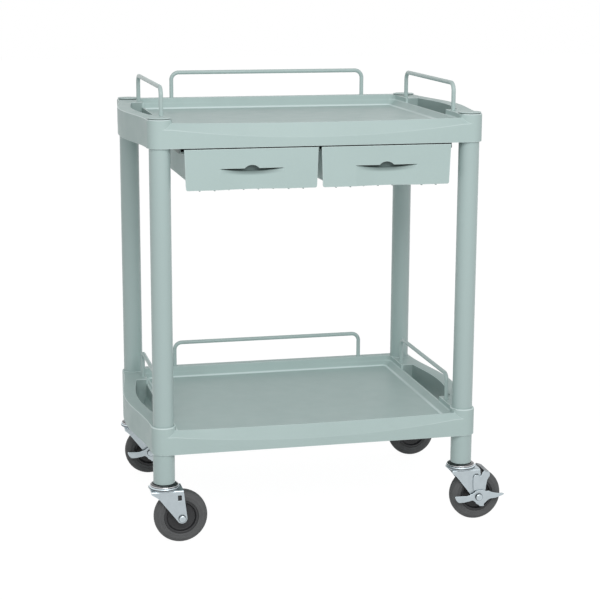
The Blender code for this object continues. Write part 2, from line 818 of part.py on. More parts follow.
def front_panel(name, low_y, high_y, **placing):
    """The drawer front: narrower at the bottom, where its corners are rounded."""
    top, bottom = FRONT_TOP, FRONT_BOTTOM
    wide, narrow = FRONT_WIDTH / 2, FRONT_WIDTH / 2 - FRONT_TAPER
    outline = rounded(
        [
            (-wide, top, 0),
            (-narrow, bottom, FRONT_CORNER),
            (narrow, bottom, FRONT_CORNER),
            (wide, top, 0),
        ]
    )
    return side_slab(name, outline, low_y, high_y, **placing)


def pull_outline():
    """The finger pull seen from the front, with an arched notch in the middle of its lip."""
    lip = FRONT_TOP - PULL_LIP_DROP
    half = PULL_WIDTH / 2
    radius = (NOTCH_CHORD**2 / 4 + NOTCH_HEIGHT**2) / (2 * NOTCH_HEIGHT)
    centre = (0, lip + NOTCH_HEIGHT - radius)
    spread = math.asin(NOTCH_CHORD / 2 / radius)
    notch = arc(centre, radius, math.pi / 2 - spread, math.pi / 2 + spread, 8)
    bottom = FRONT_BOTTOM - OVERRUN
    return [(half, bottom), (half, lip), *notch, (-half, lip), (-half, bottom)]


def make_drawer(side_name, side):
    """One moulded drawer: box, side flanges, front panel, finger pull and ribs underneath."""
    name = f"drawer_{side_name}"
    drawer = front_panel(
        name,
        FRONT_FACE_Y,
        FRONT_FACE_Y + FRONT_THICKNESS,
        collection=CART,
        material=PLASTIC,
        parent=ROOT,
        location=(side * DRAWER_X, 0, 0),
    )
    soften(drawer, FRONT_EDGE)
    apply_modifiers(drawer)
    back = FRONT_FACE_Y + FRONT_THICKNESS
    flange_low = RUNNER_LIP_TOP + SLIDE_GAP
    flange_high = flange_low + FLANGE_THICKNESS
    floor = FRONT_BOTTOM + BOX_WALL
    plan = rounded(
        [
            (-BOX_HALF, back - SINK, 0),
            (BOX_HALF, back - SINK, 0),
            (BOX_HALF, BOX_REAR, BOX_CORNER),
            (-BOX_HALF, BOX_REAR, BOX_CORNER),
        ]
    )
    inside = rounded(
        [
            (-BOX_HALF + BOX_WALL, back, 0),
            (BOX_HALF - BOX_WALL, back, 0),
            (BOX_HALF - BOX_WALL, BOX_REAR - BOX_WALL, BOX_CORNER - BOX_WALL),
            (-BOX_HALF + BOX_WALL, BOX_REAR - BOX_WALL, BOX_CORNER - BOX_WALL),
        ]
    )
    body = slab(f"{name}_box", [plan], FRONT_BOTTOM, flange_high)
    inner = slab(f"{name}_inside", [inside], floor, flange_high + OVERRUN)
    flanges = box(
        f"{name}_flanges",
        (-BOX_HALF - FLANGE_WIDTH, back - SINK, flange_low),
        (BOX_HALF + FLANGE_WIDTH, BOX_REAR - BOX_CORNER, flange_high),
    )
    lip = FRONT_TOP - PULL_LIP_DROP
    wall = PULL_WALL
    half = PULL_WIDTH / 2
    pocket_top = lip + PULL_POCKET_RISE
    pocket_back = FRONT_FACE_Y + PULL_POCKET_DEPTH
    recess_back = FRONT_FACE_Y + PULL_SETBACK
    housing = side_slab(
        f"{name}_pull_housing",
        [
            (-half - wall, FRONT_BOTTOM),
            (half + wall, FRONT_BOTTOM),
            (half + wall, pocket_top + wall),
            (-half - wall, pocket_top + wall),
        ],
        back - SINK,
        pocket_back + wall,
    )
    recess = side_slab(f"{name}_recess", pull_outline(), FRONT_FACE_Y - OVERRUN, recess_back)
    pocket = loft(
        f"{name}_pocket",
        [
            [
                (x, back, lip - SINK),
                (x, back, pocket_top - wall),
                (x, back + wall, pocket_top),
                (x, pocket_back, pocket_top),
                (x, pocket_back, lip),
                (x, recess_back - SINK, lip - PULL_SETBACK),
            ]
            for x in (-half, half)
        ],
    )
    parts = [body, inner, flanges, housing, recess, pocket]
    for part in parts:
        part.parent = ROOT
        part.location = (side * DRAWER_X, 0, 0)
    join(drawer, body, flanges)
    cut(drawer, inner)
    join(drawer, housing)
    cut(drawer, recess, pocket)
    for index in range(DRAWER_RIB_COUNT):
        x = (index - (DRAWER_RIB_COUNT - 1) / 2) * DRAWER_RIB_SPACING
        rib_front = recess_back if abs(x) < half + wall else FRONT_FACE_Y
        rib = box(
            f"{name}_rib_{index}",
            (
                x - DRAWER_RIB_WIDTH / 2,
                rib_front + FRONT_EDGE,
                FRONT_BOTTOM - DRAWER_RIB_HEIGHT,
            ),
            (x + DRAWER_RIB_WIDTH / 2, BOX_REAR - BOX_CORNER, FRONT_BOTTOM + SINK),
            parent=ROOT,
            location=(side * DRAWER_X, 0, 0),
        )
        join(drawer, rib)
    apply_modifiers(drawer)
    shade(drawer)
    return drawer


def runner_rear():
    return BOX_REAR - BOX_CORNER + SLIDE_GAP


def make_runners():
    """Channels under the top tray that carry the drawers' flanges."""
    ceiling = UPPER_TRAY_TOP - FLOOR_DROP - TRAY_WALL - SEAT_GAP
    lip_low = RUNNER_LIP_TOP - RUNNER_LIP_THICKNESS
    flange_top = RUNNER_LIP_TOP + SLIDE_GAP + FLANGE_THICKNESS + SLIDE_GAP
    web = RUNNER_WALL
    rear = runner_rear()
    for side_name, side in SIDES.items():
        edge = RUNNER_EDGE
        foot = edge + RUNNER_SPLAY
        lip_edge = DRAWER_X + BOX_HALF + FLANGE_WIDTH - RUNNER_LIP_REACH
        section = [
            (side * (edge - RUNNER_FLANGE), ceiling - web),
            (side * (edge - RUNNER_FLANGE), ceiling),
            (side * (edge + web), ceiling),
            (side * (foot + web), lip_low),
            (side * lip_edge, lip_low),
            (side * lip_edge, RUNNER_LIP_TOP),
            (side * foot, RUNNER_LIP_TOP),
            (side * edge, ceiling - web),
        ]
        finish_runner(f"drawer_runner_{side_name}", section, lip_edge, foot, side, rear, flange_top)
    inner_edge = DRAWER_X - BOX_HALF - FLANGE_WIDTH + RUNNER_LIP_REACH
    name = "drawer_runner_centre"
    length = (RUNNER_FRONT_Y, rear + RUNNER_STOP)
    blocks = {
        "lip": (inner_edge, lip_low, RUNNER_LIP_TOP),
        "web": (web, RUNNER_LIP_TOP - SINK, ceiling - SINK),
        "flange": (RUNNER_FLANGE / 2, ceiling - web, ceiling),
        "stop": (inner_edge - SINK, RUNNER_LIP_TOP - SINK, flange_top),
    }
    runner = None
    for block, (half, low, high) in blocks.items():
        front = rear if block == "stop" else length[0]
        part = box(
            f"{name}_{block}",
            (-half, front, low),
            (half, length[1] - (SINK if block == "web" else 0), high),
            parent=ROOT,
        )
        if runner is None:
            runner = part
        else:
            join(runner, part)
    apply_modifiers(runner)
    keep_as_node(runner, name, RUNNER_PLASTIC)


def finish_runner(name, section, near, far, side, rear, stop_top):
    """Extrudes a runner's section and closes its rear end with a stop for the drawer."""
    runner = side_slab(
        name,
        section,
        RUNNER_FRONT_Y,
        rear + RUNNER_STOP,
        collection=CART,
        material=RUNNER_PLASTIC,
        parent=ROOT,
    )
    low, high = sorted((side * near, side * far))
    stop = box(
        f"{name}_stop",
        (low + SINK, rear, RUNNER_LIP_TOP - SINK),
        (high - SINK, rear + RUNNER_STOP, stop_top),
        parent=ROOT,
    )
    join(runner, stop)
    apply_modifiers(runner)


def fork_leg_outline():
    """One side of the fork, in X and Z from the leg's axis on the floor."""
    hub = Vector((WHEEL_TRAIL, WHEEL_RADIUS))
    breaks = Vector((FORK_FRONT_BREAK_X, FORK_FRONT_BREAK_Z))
    rear_top = Vector((FORK_REAR, FORK_TOP))
    front_tangent = tangent_angle(breaks, hub, FORK_TIP_RADIUS, 1)
    rear_tangent = tangent_angle(rear_top, hub, FORK_TIP_RADIUS, -1)
    tip = arc(hub, FORK_TIP_RADIUS, front_tangent, rear_tangent + 2 * math.pi, 8)
    return [
        (-FORK_FRONT, FORK_TOP),
        (-FORK_FRONT, FORK_FRONT_CORNER_Z),
        (FORK_FRONT_BREAK_X, FORK_FRONT_BREAK_Z),
        *tip,
        (FORK_REAR, FORK_TOP),
    ]


def tangent_angle(point, centre, radius, side):
    """The angle on a circle where a line from the point touches it, on the side given."""
    offset = point - centre
    return math.atan2(offset.y, offset.x) + side * math.acos(radius / offset.length)


def make_fork(corner, swivel):
    name = f"caster_fork_{corner}"
    thickness = FORK_THICKNESS
    plate = rounded(
        [
            (-FORK_FRONT, -FORK_OUTER, FORK_CORNER),
            (FORK_REAR, -FORK_OUTER, FORK_CORNER),
            (FORK_REAR, FORK_OUTER, FORK_CORNER),
            (-FORK_FRONT, FORK_OUTER, FORK_CORNER),
        ],
        3,
    )
    fork = slab(
        name,
        [plate],
        FORK_TOP - thickness,
        FORK_TOP,
        collection=CART,
        material=ZINC,
        parent=swivel,
    )
    tools = []
    for side_name, side in (("near", -1), ("far", 1)):
        low, high = sorted((side * FORK_GAP / 2, side * FORK_OUTER))
        tools.append(side_slab(f"{name}_{side_name}", fork_leg_outline(), low, high))
    race_top = RACE_SPLIT - SEAT_GAP
    race = turned(
        f"{name}_race",
        [
            (0, race_top),
            (RACE_RADIUS - RACE_EDGE, race_top),
            (RACE_RADIUS, race_top - RACE_EDGE),
            (RACE_RADIUS, FORK_TOP + RACE_EDGE),
            (RACE_RADIUS - RACE_EDGE, FORK_TOP - SINK),
            (0, FORK_TOP - SINK),
        ],
        RACE_FACETS,
    )
    join(fork, *tools, race)
    holes = [
        rod(
            f"{name}_pin_hole",
            KINGPIN_RADIUS + SEAT_GAP,
            (0, 0, FORK_TOP - thickness - OVERRUN),
            (0, 0, race_top + OVERRUN),
        ),
        rod(
            f"{name}_axle_hole",
            AXLE_RADIUS + SEAT_GAP,
            (WHEEL_TRAIL, -FORK_OUTER - OVERRUN, WHEEL_RADIUS),
            (WHEEL_TRAIL, FORK_OUTER + OVERRUN, WHEEL_RADIUS),
            AXLE_FACETS,
        ),
        box(
            f"{name}_slot",
            (SLOT_X - SLOT_WIDTH / 2, -FORK_OUTER - OVERRUN, SLOT_Z - SLOT_HEIGHT / 2),
            (SLOT_X + SLOT_WIDTH / 2, FORK_OUTER + OVERRUN, SLOT_Z + SLOT_HEIGHT / 2),
        ),
    ]
    cut(fork, *holes)
    for tool in [*tools, race, *holes]:
        tool.parent = swivel
    apply_modifiers(fork)
    shade(fork)


def make_stem(corner, place):
    """The fixed half of a caster: stem, upper race and the king pin that carries the fork."""
    head_top = FORK_TOP - FORK_THICKNESS - SEAT_GAP
    race_top = LEG_FOOT - SEAT_GAP
    turned(
        f"caster_stem_{corner}",
        [
            (0, LEG_FOOT + STEM_LENGTH),
            (STEM_RADIUS, LEG_FOOT + STEM_LENGTH),
            (STEM_RADIUS, race_top),
            (RACE_TOP_RADIUS, race_top),
            (RACE_RADIUS - RACE_GROOVE, RACE_SPLIT + RACE_EDGE),
            (RACE_RADIUS - RACE_GROOVE, RACE_SPLIT),
            (KINGPIN_RADIUS, RACE_SPLIT),
            (KINGPIN_RADIUS, head_top),
            (KINGPIN_HEAD_RADIUS, head_top),
            (KINGPIN_HEAD_RADIUS, head_top - KINGPIN_HEAD),
            (0, head_top - KINGPIN_HEAD),
        ],
        RACE_FACETS,
        collection=CART,
        material=CHROME,
        parent=ROOT,
        location=place,
    )


def make_wheel(corner, wheel):
    """Tyre and hub, turned about the axle."""
    half = TYRE_WIDTH / 2
    seat = HUB_RADIUS
    sidewall = WHEEL_RADIUS - TYRE_SHOULDER
    turned_across(
        f"tyre_{corner}",
        [
            (WHEEL_RADIUS - TREAD_CROWN, half - TREAD_CROWN),
            (WHEEL_RADIUS, TREAD_CROWN),
            (WHEEL_RADIUS, -TREAD_CROWN),
            (WHEEL_RADIUS - TREAD_CROWN, TREAD_CROWN - half),
            (sidewall, -half),
            (seat + SEAT_GAP, -HUB_RIM_WIDTH / 2),
            (seat + SEAT_GAP, HUB_RIM_WIDTH / 2),
            (sidewall, half),
        ],
        WHEEL_FACETS,
        closed=True,
        collection=CART,
        material=TYRE_RUBBER,
        parent=wheel,
    )
    rim = HUB_RIM_WIDTH / 2
    web = HUB_WEB / 2
    boss = FORK_GAP / 2 - SEAT_GAP
    bore = AXLE_RADIUS + SEAT_GAP
    turned_across(
        f"wheel_hub_{corner}",
        [
            (seat, rim),
            (seat, -rim),
            (seat - HUB_RIM, -rim),
            (HUB_BOSS_RADIUS, -web),
            (HUB_BOSS_RADIUS, -boss),
            (bore, -boss),
            (bore, boss),
            (HUB_BOSS_RADIUS, boss),
            (HUB_BOSS_RADIUS, web),
            (seat - HUB_RIM, rim),
        ],
        WHEEL_FACETS,
        closed=True,
        collection=CART,
        material=HUB_PLASTIC,
        parent=wheel,
    )


def make_axle(corner, swivel):
    """The axle bolt, with a head at each side of the fork."""
    head = FORK_OUTER + SEAT_GAP
    if corner in BRAKED:
        head += PEDAL_THICKNESS + BRAKE_THICKNESS + SEAT_GAP * 2
    far_head = FORK_OUTER + SEAT_GAP
    turned_across(
        f"caster_axle_{corner}",
        [
            (0, head + AXLE_HEAD),
            (AXLE_HEAD_RADIUS, head + AXLE_HEAD),
            (AXLE_HEAD_RADIUS, head),
            (AXLE_RADIUS, head),
            (AXLE_RADIUS, -far_head),
            (AXLE_HEAD_RADIUS, -far_head),
            (AXLE_HEAD_RADIUS, -far_head - AXLE_HEAD),
            (0, -far_head - AXLE_HEAD),
        ],
        AXLE_FACETS,
        collection=CART,
        material=ZINC,
        parent=swivel,
        location=(WHEEL_TRAIL, 0, WHEEL_RADIUS),
    )


def wheel_points(shares):
    """Outline shares as points from the wheel's centre."""
    return [(x * WHEEL_RADIUS, z * WHEEL_RADIUS) for x, z in shares]


def make_brake(corner, swivel):
    """The shoe that hooks into the fork's slots and arches over the tyre, and the foot pedal."""
    shoe_pivot = (SLOT_X, 0, SLOT_Z)
    from_pivot = Vector((WHEEL_TRAIL - SLOT_X, WHEEL_RADIUS - SLOT_Z))
    near = FORK_OUTER + SEAT_GAP
    far = near + BRAKE_THICKNESS
    plate = [(x + from_pivot.x, z + from_pivot.y) for x, z in wheel_points(PLATE_SHARES)]
    pivot = add_empty(f"brake_pivot_{corner}", swivel, shoe_pivot)
    shoe = side_slab(
        f"brake_shoe_{corner}",
        plate,
        -far,
        -near,
        collection=CART,
        material=ZINC,
        parent=pivot,
    )
    outer = arc(from_pivot, SHOE_RADIUS + BRAKE_THICKNESS, SHOE_START, SHOE_END, 6)
    inner = arc(from_pivot, SHOE_RADIUS, SHOE_END, SHOE_START, 6)
    bridge = side_slab(f"brake_bridge_{corner}", outer + inner, -far, far)
    back = side_slab(f"brake_back_{corner}", plate, near, far)
    join(shoe, back, bridge)
    hooks = []
    for side in (-1, 1):
        low, high = sorted((side * FORK_GAP / 2, side * (near + SINK)))
        reach = SLOT_WIDTH / 2 - SEAT_GAP
        hooks.append(box(f"brake_hook_{corner}_{side}", (-reach, low, -reach), (reach, high, reach)))
    join(shoe, *hooks)
    for tool in (bridge, back, *hooks):
        tool.parent = pivot
    apply_modifiers(shoe)
    foot = add_empty(f"pedal_pivot_{corner}", swivel, (WHEEL_TRAIL, 0, WHEEL_RADIUS))
    low = -far - SEAT_GAP - PEDAL_THICKNESS
    pedal = side_slab(
        f"brake_pedal_{corner}",
        wheel_points(PEDAL_SHARES),
        low,
        -far - SEAT_GAP,
        collection=CART,
        material=ZINC,
        parent=foot,
    )
    hole = rod(
        f"pedal_hole_{corner}",
        AXLE_RADIUS + SEAT_GAP,
        (0, low - OVERRUN, 0),
        (0, -near, 0),
        AXLE_FACETS,
        parent=foot,
    )
    cut(pedal, hole)
    apply_modifiers(pedal)


def make_casters():
    for corner, (sx, sy) in CORNERS.items():
        place = (sx * POST_X, sy * POST_Y, 0)
        make_stem(corner, place)
        swivel = add_empty(f"swivel_{corner}", ROOT, place)
        make_fork(corner, swivel)
        make_axle(corner, swivel)
        wheel = add_empty(f"wheel_{corner}", swivel, (WHEEL_TRAIL, 0, WHEEL_RADIUS))
        make_wheel(corner, wheel)
        if corner in BRAKED:
            make_brake(corner, swivel)


def centre_on_origin():
    """Moves the cart so that the middle of its outline stands on the origin."""
    bpy.context.view_layer.update()
    graph = bpy.context.evaluated_depsgraph_get()
    points = []
    for obj in CART.objects:
        if obj.type != "EMPTY":
            shape = obj.evaluated_get(graph)
            points += [obj.matrix_world @ vertex.co for vertex in shape.to_mesh().vertices]
            shape.to_mesh_clear()
    for axis in (0, 1):
        values = [point[axis] for point in points]
        ROOT.location[axis] = -(min(values) + max(values)) / 2
    bpy.context.view_layer.update()


clear_scene()
CART = new_collection("utility_cart")
CUTTERS = new_collection("utility_cart_cutters")
PLASTIC = new_material("pale_green_plastic", (0.47, 0.57, 0.55), 0.45)
POST_PAINT = new_material("post_coating", (0.45, 0.56, 0.54), 0.4)
RAIL_PAINT = new_material("rail_coating", (0.45, 0.56, 0.54), 0.35)
RUNNER_PLASTIC = new_material("runner_plastic", (0.30, 0.37, 0.36), 0.5)
ZINC = new_material("zinc_plate", (0.68, 0.72, 0.76), 0.35, 1.0)
CHROME = new_material("chrome_plate", (0.80, 0.80, 0.80), 0.12, 1.0)
TYRE_RUBBER = new_material("grey_rubber", (0.10, 0.10, 0.10), 0.75)
HUB_PLASTIC = new_material("dark_hub_plastic", (0.04, 0.04, 0.04), 0.5)
ROOT = add_empty("cart_origin")
make_tray("top_tray", UPPER_TRAY_TOP, post_above=False)
make_tray("bottom_tray", LOWER_TRAY_TOP, post_above=True)
make_caps()
make_posts()
make_legs()
make_rails()
for drawer_side, sign in SIDES.items():
    make_drawer(drawer_side, sign)
make_runners()
make_casters()
centre_on_origin()
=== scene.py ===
"""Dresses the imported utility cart: fine mouldings, finishes, studio and camera.

Metres, +Z up, front facing -Y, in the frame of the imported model.
"""

import math

import bmesh
import bpy
import numpy as np
from bpy.props import FloatProperty, FloatVectorProperty, PointerProperty
from mathutils import Matrix, Vector
from mathutils.geometry import delaunay_2d_cdt


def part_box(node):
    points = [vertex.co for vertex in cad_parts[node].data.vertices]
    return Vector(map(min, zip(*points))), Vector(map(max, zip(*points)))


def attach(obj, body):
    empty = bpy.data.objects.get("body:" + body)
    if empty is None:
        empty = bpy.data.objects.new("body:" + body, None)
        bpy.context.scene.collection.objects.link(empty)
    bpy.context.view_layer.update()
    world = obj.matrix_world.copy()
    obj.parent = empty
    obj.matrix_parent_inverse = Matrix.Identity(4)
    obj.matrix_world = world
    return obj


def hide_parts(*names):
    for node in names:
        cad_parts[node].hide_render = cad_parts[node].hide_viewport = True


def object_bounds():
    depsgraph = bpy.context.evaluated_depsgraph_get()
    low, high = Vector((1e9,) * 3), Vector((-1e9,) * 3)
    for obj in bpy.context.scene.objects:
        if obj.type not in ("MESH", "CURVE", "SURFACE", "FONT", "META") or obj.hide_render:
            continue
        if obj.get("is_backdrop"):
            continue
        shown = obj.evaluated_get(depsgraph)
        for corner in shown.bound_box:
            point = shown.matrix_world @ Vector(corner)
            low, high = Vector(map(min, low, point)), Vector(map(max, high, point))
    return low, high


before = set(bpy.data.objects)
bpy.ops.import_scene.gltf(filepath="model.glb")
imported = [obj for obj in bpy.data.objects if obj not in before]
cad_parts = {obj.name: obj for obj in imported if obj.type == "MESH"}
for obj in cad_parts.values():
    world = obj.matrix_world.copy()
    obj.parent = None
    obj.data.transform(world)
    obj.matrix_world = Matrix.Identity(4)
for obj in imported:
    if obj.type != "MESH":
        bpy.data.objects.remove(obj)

bl_info = {
    "name": "Utility Cart Pieces",
    "version": (1, 0, 0),
    "blender": (4, 5, 0),
    "location": "View3D > Sidebar > Cart",
    "description": "Builds the moulded trays, rails, drawers and casters of a utility cart",
    "category": "Mesh",
}

MM = 0.001
SAME_POINT = 0.001 * MM
NO_POINTS = np.empty((0, 2))
CORNERS = ("front_left", "front_right", "rear_left", "rear_right")
BRAKED = ("front_right", "rear_left")
SIDES = ("left", "right")


def box_middle(node):
    """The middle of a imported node's box."""
    low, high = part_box(node)
    return (np.array(low) + np.array(high)) / 2


AXES = {corner: box_middle(f"post_{corner}") * (1, 1, 0) for corner in CORNERS}
MIDDLE = sum(AXES.values()) / 4
POST_X, POST_Y = AXES["rear_right"][:2] - MIDDLE[:2]
TRAY_TOPS = {tray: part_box(tray)[1][2] for tray in ("top_tray", "bottom_tray")}
CAD_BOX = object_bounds()

# What the "edge" attribute holds where a surface isn't flat and open: 1 is a painted highlight on a
# rounded edge, and these levels below 0 are painted shade for the places that lie in shade, down to
# -1 deep in a recess.
DEEP_SHADE = -1.0
BOLT_SIDE_SHADE = -0.9
RACE_BAND_SHADE = -0.85
SCOOP_SHADE = -0.8
SHEET_SIDE_SHADE = -0.8
HOLE_SIDE_SHADE = -0.35


# Curves and surfaces


def pairs(x, y):
    """The points (x, y) from two rows of numbers, either of which may be a single number."""
    return np.stack(np.broadcast_arrays(x, y), -1)


def arc(centre, radius, angle):
    """Points of a circle: the centre + radius (cos a, sin a)."""
    return np.asarray(centre) + radius * pairs(np.cos(angle), np.sin(angle))


def bend_corners(corners, setback, steps=3, closed=True):
    """Rounds the corners of a profile, an outline or a stack of rings.

    A corner P is swapped for the curve from A, one setback before it, to B, one setback after it:
    ((1-t)^2 A + 2t(1-t)w P + t^2 B) / ((1-t)^2 + 2t(1-t)w + t^2), with w the sine of half the
    corner's angle, which makes it a circle's arc. A setback is at most 0.45 of the sides beside it.
    Returns the points, and for each one how near it is to the middle of its arc, sin(pi t), less
    where the corner hardly turns.
    """
    most_of_side, gentlest_weight, least_reach, tiny = 0.45, 0.15, 0.01 * MM, 1e-9
    corners = np.asarray(corners, float)
    before = np.roll(corners, 1, axis=0) - corners
    after = np.roll(corners, -1, axis=0) - corners
    if not closed:
        before[0] = after[-1] = 0
    to_before = np.linalg.norm(before, axis=-1)
    to_after = np.linalg.norm(after, axis=-1)
    before /= np.maximum(to_before, tiny)[..., None]
    after /= np.maximum(to_after, tiny)[..., None]
    setback = np.asarray(setback, float)
    setback = setback.reshape(setback.shape + (1,) * (to_before.ndim - setback.ndim))
    reach = np.minimum(setback, most_of_side * np.minimum(to_before, to_after))
    start = corners + before * reach[..., None]
    end = corners + after * reach[..., None]
    pull = np.sqrt(np.clip((1 - (before * after).sum(-1)) / 2, 0, 1))[:, None, ..., None]
    crisp = np.clip((1 - pull[..., 0]) / gentlest_weight, 0, 1)
    t = np.linspace(0, 1, steps + 1).reshape((1, -1) + (1,) * (corners.ndim - 1))
    ends = (1 - t) ** 2 * start[:, None] + t**2 * end[:, None]
    middle = 2 * t * (1 - t) * pull
    points = (ends + middle * corners[:, None]) / ((1 - t) ** 2 + t**2 + middle)
    # The finishes paint highlights on rounded edges where this nearness is high.
    near = np.sin(math.pi * t[..., 0]) * (reach[:, None] > least_reach) * crisp
    near = np.broadcast_to(near, points.shape[:-1])
    return points.reshape((-1, *points.shape[2:])), near.reshape((-1, *near.shape[2:]))


def bent(corners, setback, steps, closed=True):
    """A flat line with its corners rounded, without the points that lie on the one before."""
    line, _ = bend_corners(corners, setback, steps, closed)
    apart = np.linalg.norm(line - np.roll(line, 1, axis=0), axis=1) > SAME_POINT
    apart[0] |= not closed
    return line[apart]


def anticlockwise(outline):
    """The outline, turned round if its area x dy - y dx comes out negative."""
    x, y = outline.T
    area = np.sum(x * np.roll(y, -1) - np.roll(x, -1) * y)
    return outline if area > 0 else outline[::-1]


def spaced(outline, most):
    """A closed outline with points added so that no side is longer than the most given."""
    ahead = np.roll(outline, -1, axis=0)
    count = np.ceil(np.linalg.norm(ahead - outline, axis=1) / most).astype(int).clip(1)
    side = np.repeat(np.arange(len(outline)), count)
    first = np.repeat(np.cumsum(count) - count, count)
    share = (np.arange(len(side)) - first) / count[side]
    return outline[side] + (ahead - outline)[side] * share[:, None]


def inwards(outline):
    """At each point of a closed outline, the step that draws both its sides in by one unit.

    With n and m the sides' normals, it is (n + m) / (1 + n.m).
    """
    ahead = np.roll(outline, -1, axis=0) - outline
    normal = pairs(-ahead[:, 1], ahead[:, 0])
    normal /= np.linalg.norm(normal, axis=1)[:, None]
    before = np.roll(normal, 1, axis=0)
    sharpest = 0.4
    return (normal + before) / (1 + (normal * before).sum(1))[:, None].clip(sharpest)


def run_of(path):
    """The length run along a path at each of its points."""
    return np.append(0, np.cumsum(np.linalg.norm(np.diff(path, axis=0), axis=1)))


def along(path, share):
    """The points of a path at the given shares of its length."""
    run = run_of(path)
    return np.stack([np.interp(share * run[-1], run, numbers) for numbers in path.T], -1)


def smooth_step(value, low, high):
    """0 below low, 1 above high, and 3s^2 - 2s^3 between them."""
    share = np.clip((value - low) / (high - low), 0, 1)
    return share * share * (3 - 2 * share)


def surface(points, near=0.0, wrap_rows=False, wrap_columns=False, keep=None):
    """A grid of points as a surface: points, quads and each point's value of "edge".

    The quad of row r and column c joins the points (r, c), (r, c+1), (r+1, c+1) and (r+1, c).
    """
    rows, columns = points.shape[:2]
    row = np.arange(rows if wrap_rows else rows - 1)[:, None]
    column = np.arange(columns if wrap_columns else columns - 1)
    below, beside = (row + 1) % rows * columns, (column + 1) % columns
    row = row * columns
    faces = (row + column, row + beside, below + beside, below + column)
    faces = np.stack(faces, -1)
    faces = faces.reshape(-1, 4) if keep is None else faces[keep]
    return points.reshape(-1, 3), faces, np.broadcast_to(near, (rows, columns)).reshape(-1)


def together(*surfaces):
    """Several surfaces as one, their quads renumbered."""
    starts = np.cumsum([0] + [len(points) for points, _, _ in surfaces])
    return (
        np.concatenate([points for points, _, _ in surfaces]),
        np.concatenate([faces + start for (_, faces, _), start in zip(surfaces, starts)]),
        np.concatenate([near for _, _, near in surfaces]),
    )


def moved(shape, place):
    """The same shape, shifted by a place."""
    points, faces, near = shape
    return points + np.asarray(place, float), faces, near


def turned(profile, turns=64, steps=4, closed=False, across=False):
    """A profile of (radius, height, rounding) corners turned about the Z axis, or about Y.

    A point at radius r, height h and angle a lies at (r cos a, r sin a, h).
    """
    profile = np.asarray(profile, float)
    points, near = bend_corners(profile[:, :2], profile[:, 2], steps, closed)
    angle = np.arange(turns) * 2 * math.pi / turns
    radius, height = points[:, :1], points[:, 1:]
    ring = np.broadcast_arrays(radius * np.cos(angle), radius * np.sin(angle), height)
    ring = np.stack(ring, -1)
    if across:
        ring = ring[..., [0, 2, 1]]
    return surface(ring, near[:, None], wrap_rows=closed, wrap_columns=True)


def rod(path, across, radius, sides):
    """A round rod along a flat path: at each point the circle radius (n cos a + s sin a).

    n is the normal of the path's plane and s lies in it, square to the path. The ends are closed.
    """
    forwards = np.gradient(path, axis=0)
    forwards /= np.linalg.norm(forwards, axis=1)[:, None]
    side = np.cross(forwards, across)
    angle = (np.arange(sides) * 2 * math.pi / sides)[:, None]
    ring = np.cos(angle) * np.asarray(across, float) + np.sin(angle) * side[:, None]
    size = np.full(len(path) + 2, radius)
    size[[0, -1]] = 0
    order = np.clip(np.arange(-1, len(path) + 1), 0, len(path) - 1)
    return surface(path[order, None] + ring[order] * size[:, None, None], wrap_columns=True)


def plate(outline, holes, thickness, edge, place, fill=NO_POINTS, steps=3):
    """A sheet with rounded edges, its outline anticlockwise and its holes clockwise.

    Each edge is a grid: the outline drawn in by edge (1 - sin a) and set back by edge (1 - cos a)
    as a goes from 0 to 90 degrees, then the same from the other face. The faces are triangles
    between the outlines, through the fill's points, without those that have all their corners on
    one hole. place turns points (across, up, depth) into the frame's.
    """
    turn = np.linspace(0, math.pi / 2, steps + 1)
    draw = edge * (1 - np.sin(turn))
    deep = edge * (1 - np.cos(turn))
    draw = np.concatenate([draw, draw[::-1]])[:, None, None]
    deep = np.concatenate([deep, thickness - deep[::-1]])[:, None]
    # Painted highlights on the rounded edges, and painted shade on the sheet's cut sides.
    near = np.append(np.sin(turn[:-1] * 2), SHEET_SIDE_SHADE)
    near = np.concatenate([near, near[::-1]])
    parts, rims, sides = [], [], []
    for loop in (outline, *holes):
        rows = loop + inwards(loop) * draw
        depth = np.broadcast_to(deep, rows.shape[:2])[..., None]
        parts.append(surface(np.concatenate([rows, depth], -1), near[:, None], wrap_columns=True))
        index = np.arange(len(loop))
        sides.append(pairs(index, np.roll(index, -1)) + sum(map(len, rims)))
        rims.append(rows[0])
    flat = np.concatenate([*rims, fill])
    keep_inside, merge_distance = 2, 1e-9
    points, _, faces, origin, *_ = delaunay_2d_cdt(
        [Vector(point) for point in flat],
        np.concatenate(sides).tolist(),
        [],
        keep_inside,
        merge_distance,
    )
    points, faces = np.array(points), np.array(faces)
    rim_of = np.zeros(len(flat), int)
    rim_of[: sum(map(len, rims))] = np.repeat(np.arange(len(rims)), [len(rim) for rim in rims])
    rim = rim_of[[first for first, *_ in origin]][faces]
    in_hole = (rim[:, 0] > 0) & (rim == rim[:, :1]).all(1)
    faces = faces[~in_hole][:, [0, 1, 2, 2]]
    for depth, order in ((0.0, faces), (thickness, faces[:, [2, 1, 0, 0]])):
        level = np.column_stack([points, np.full(len(points), depth)])
        parts.append((level, order, np.zeros(len(points))))
    solid, faces, near = together(*parts)
    return place(solid), faces, near


def upright(face, way=-1):
    """A placing for plates that stand across the Y axis, their first face at way * face."""

    def place(points):
        return np.column_stack([points[:, 0], way * (face - points[:, 2]), points[:, 1]])

    return place


def slab(low, high, edge):
    """A block between two corners, its upright edges and the edges of its faces rounded."""
    (x, y, z), (far_x, far_y, far_z) = low, high
    outline = bent([[x, y], [far_x, y], [far_x, far_y], [x, far_y]], edge, 2)
    return plate(
        outline,
        [],
        far_z - z,
        edge,
        lambda points: points * (1, 1, -1) + (0, 0, far_z),
        steps=2,
    )


# Finishes


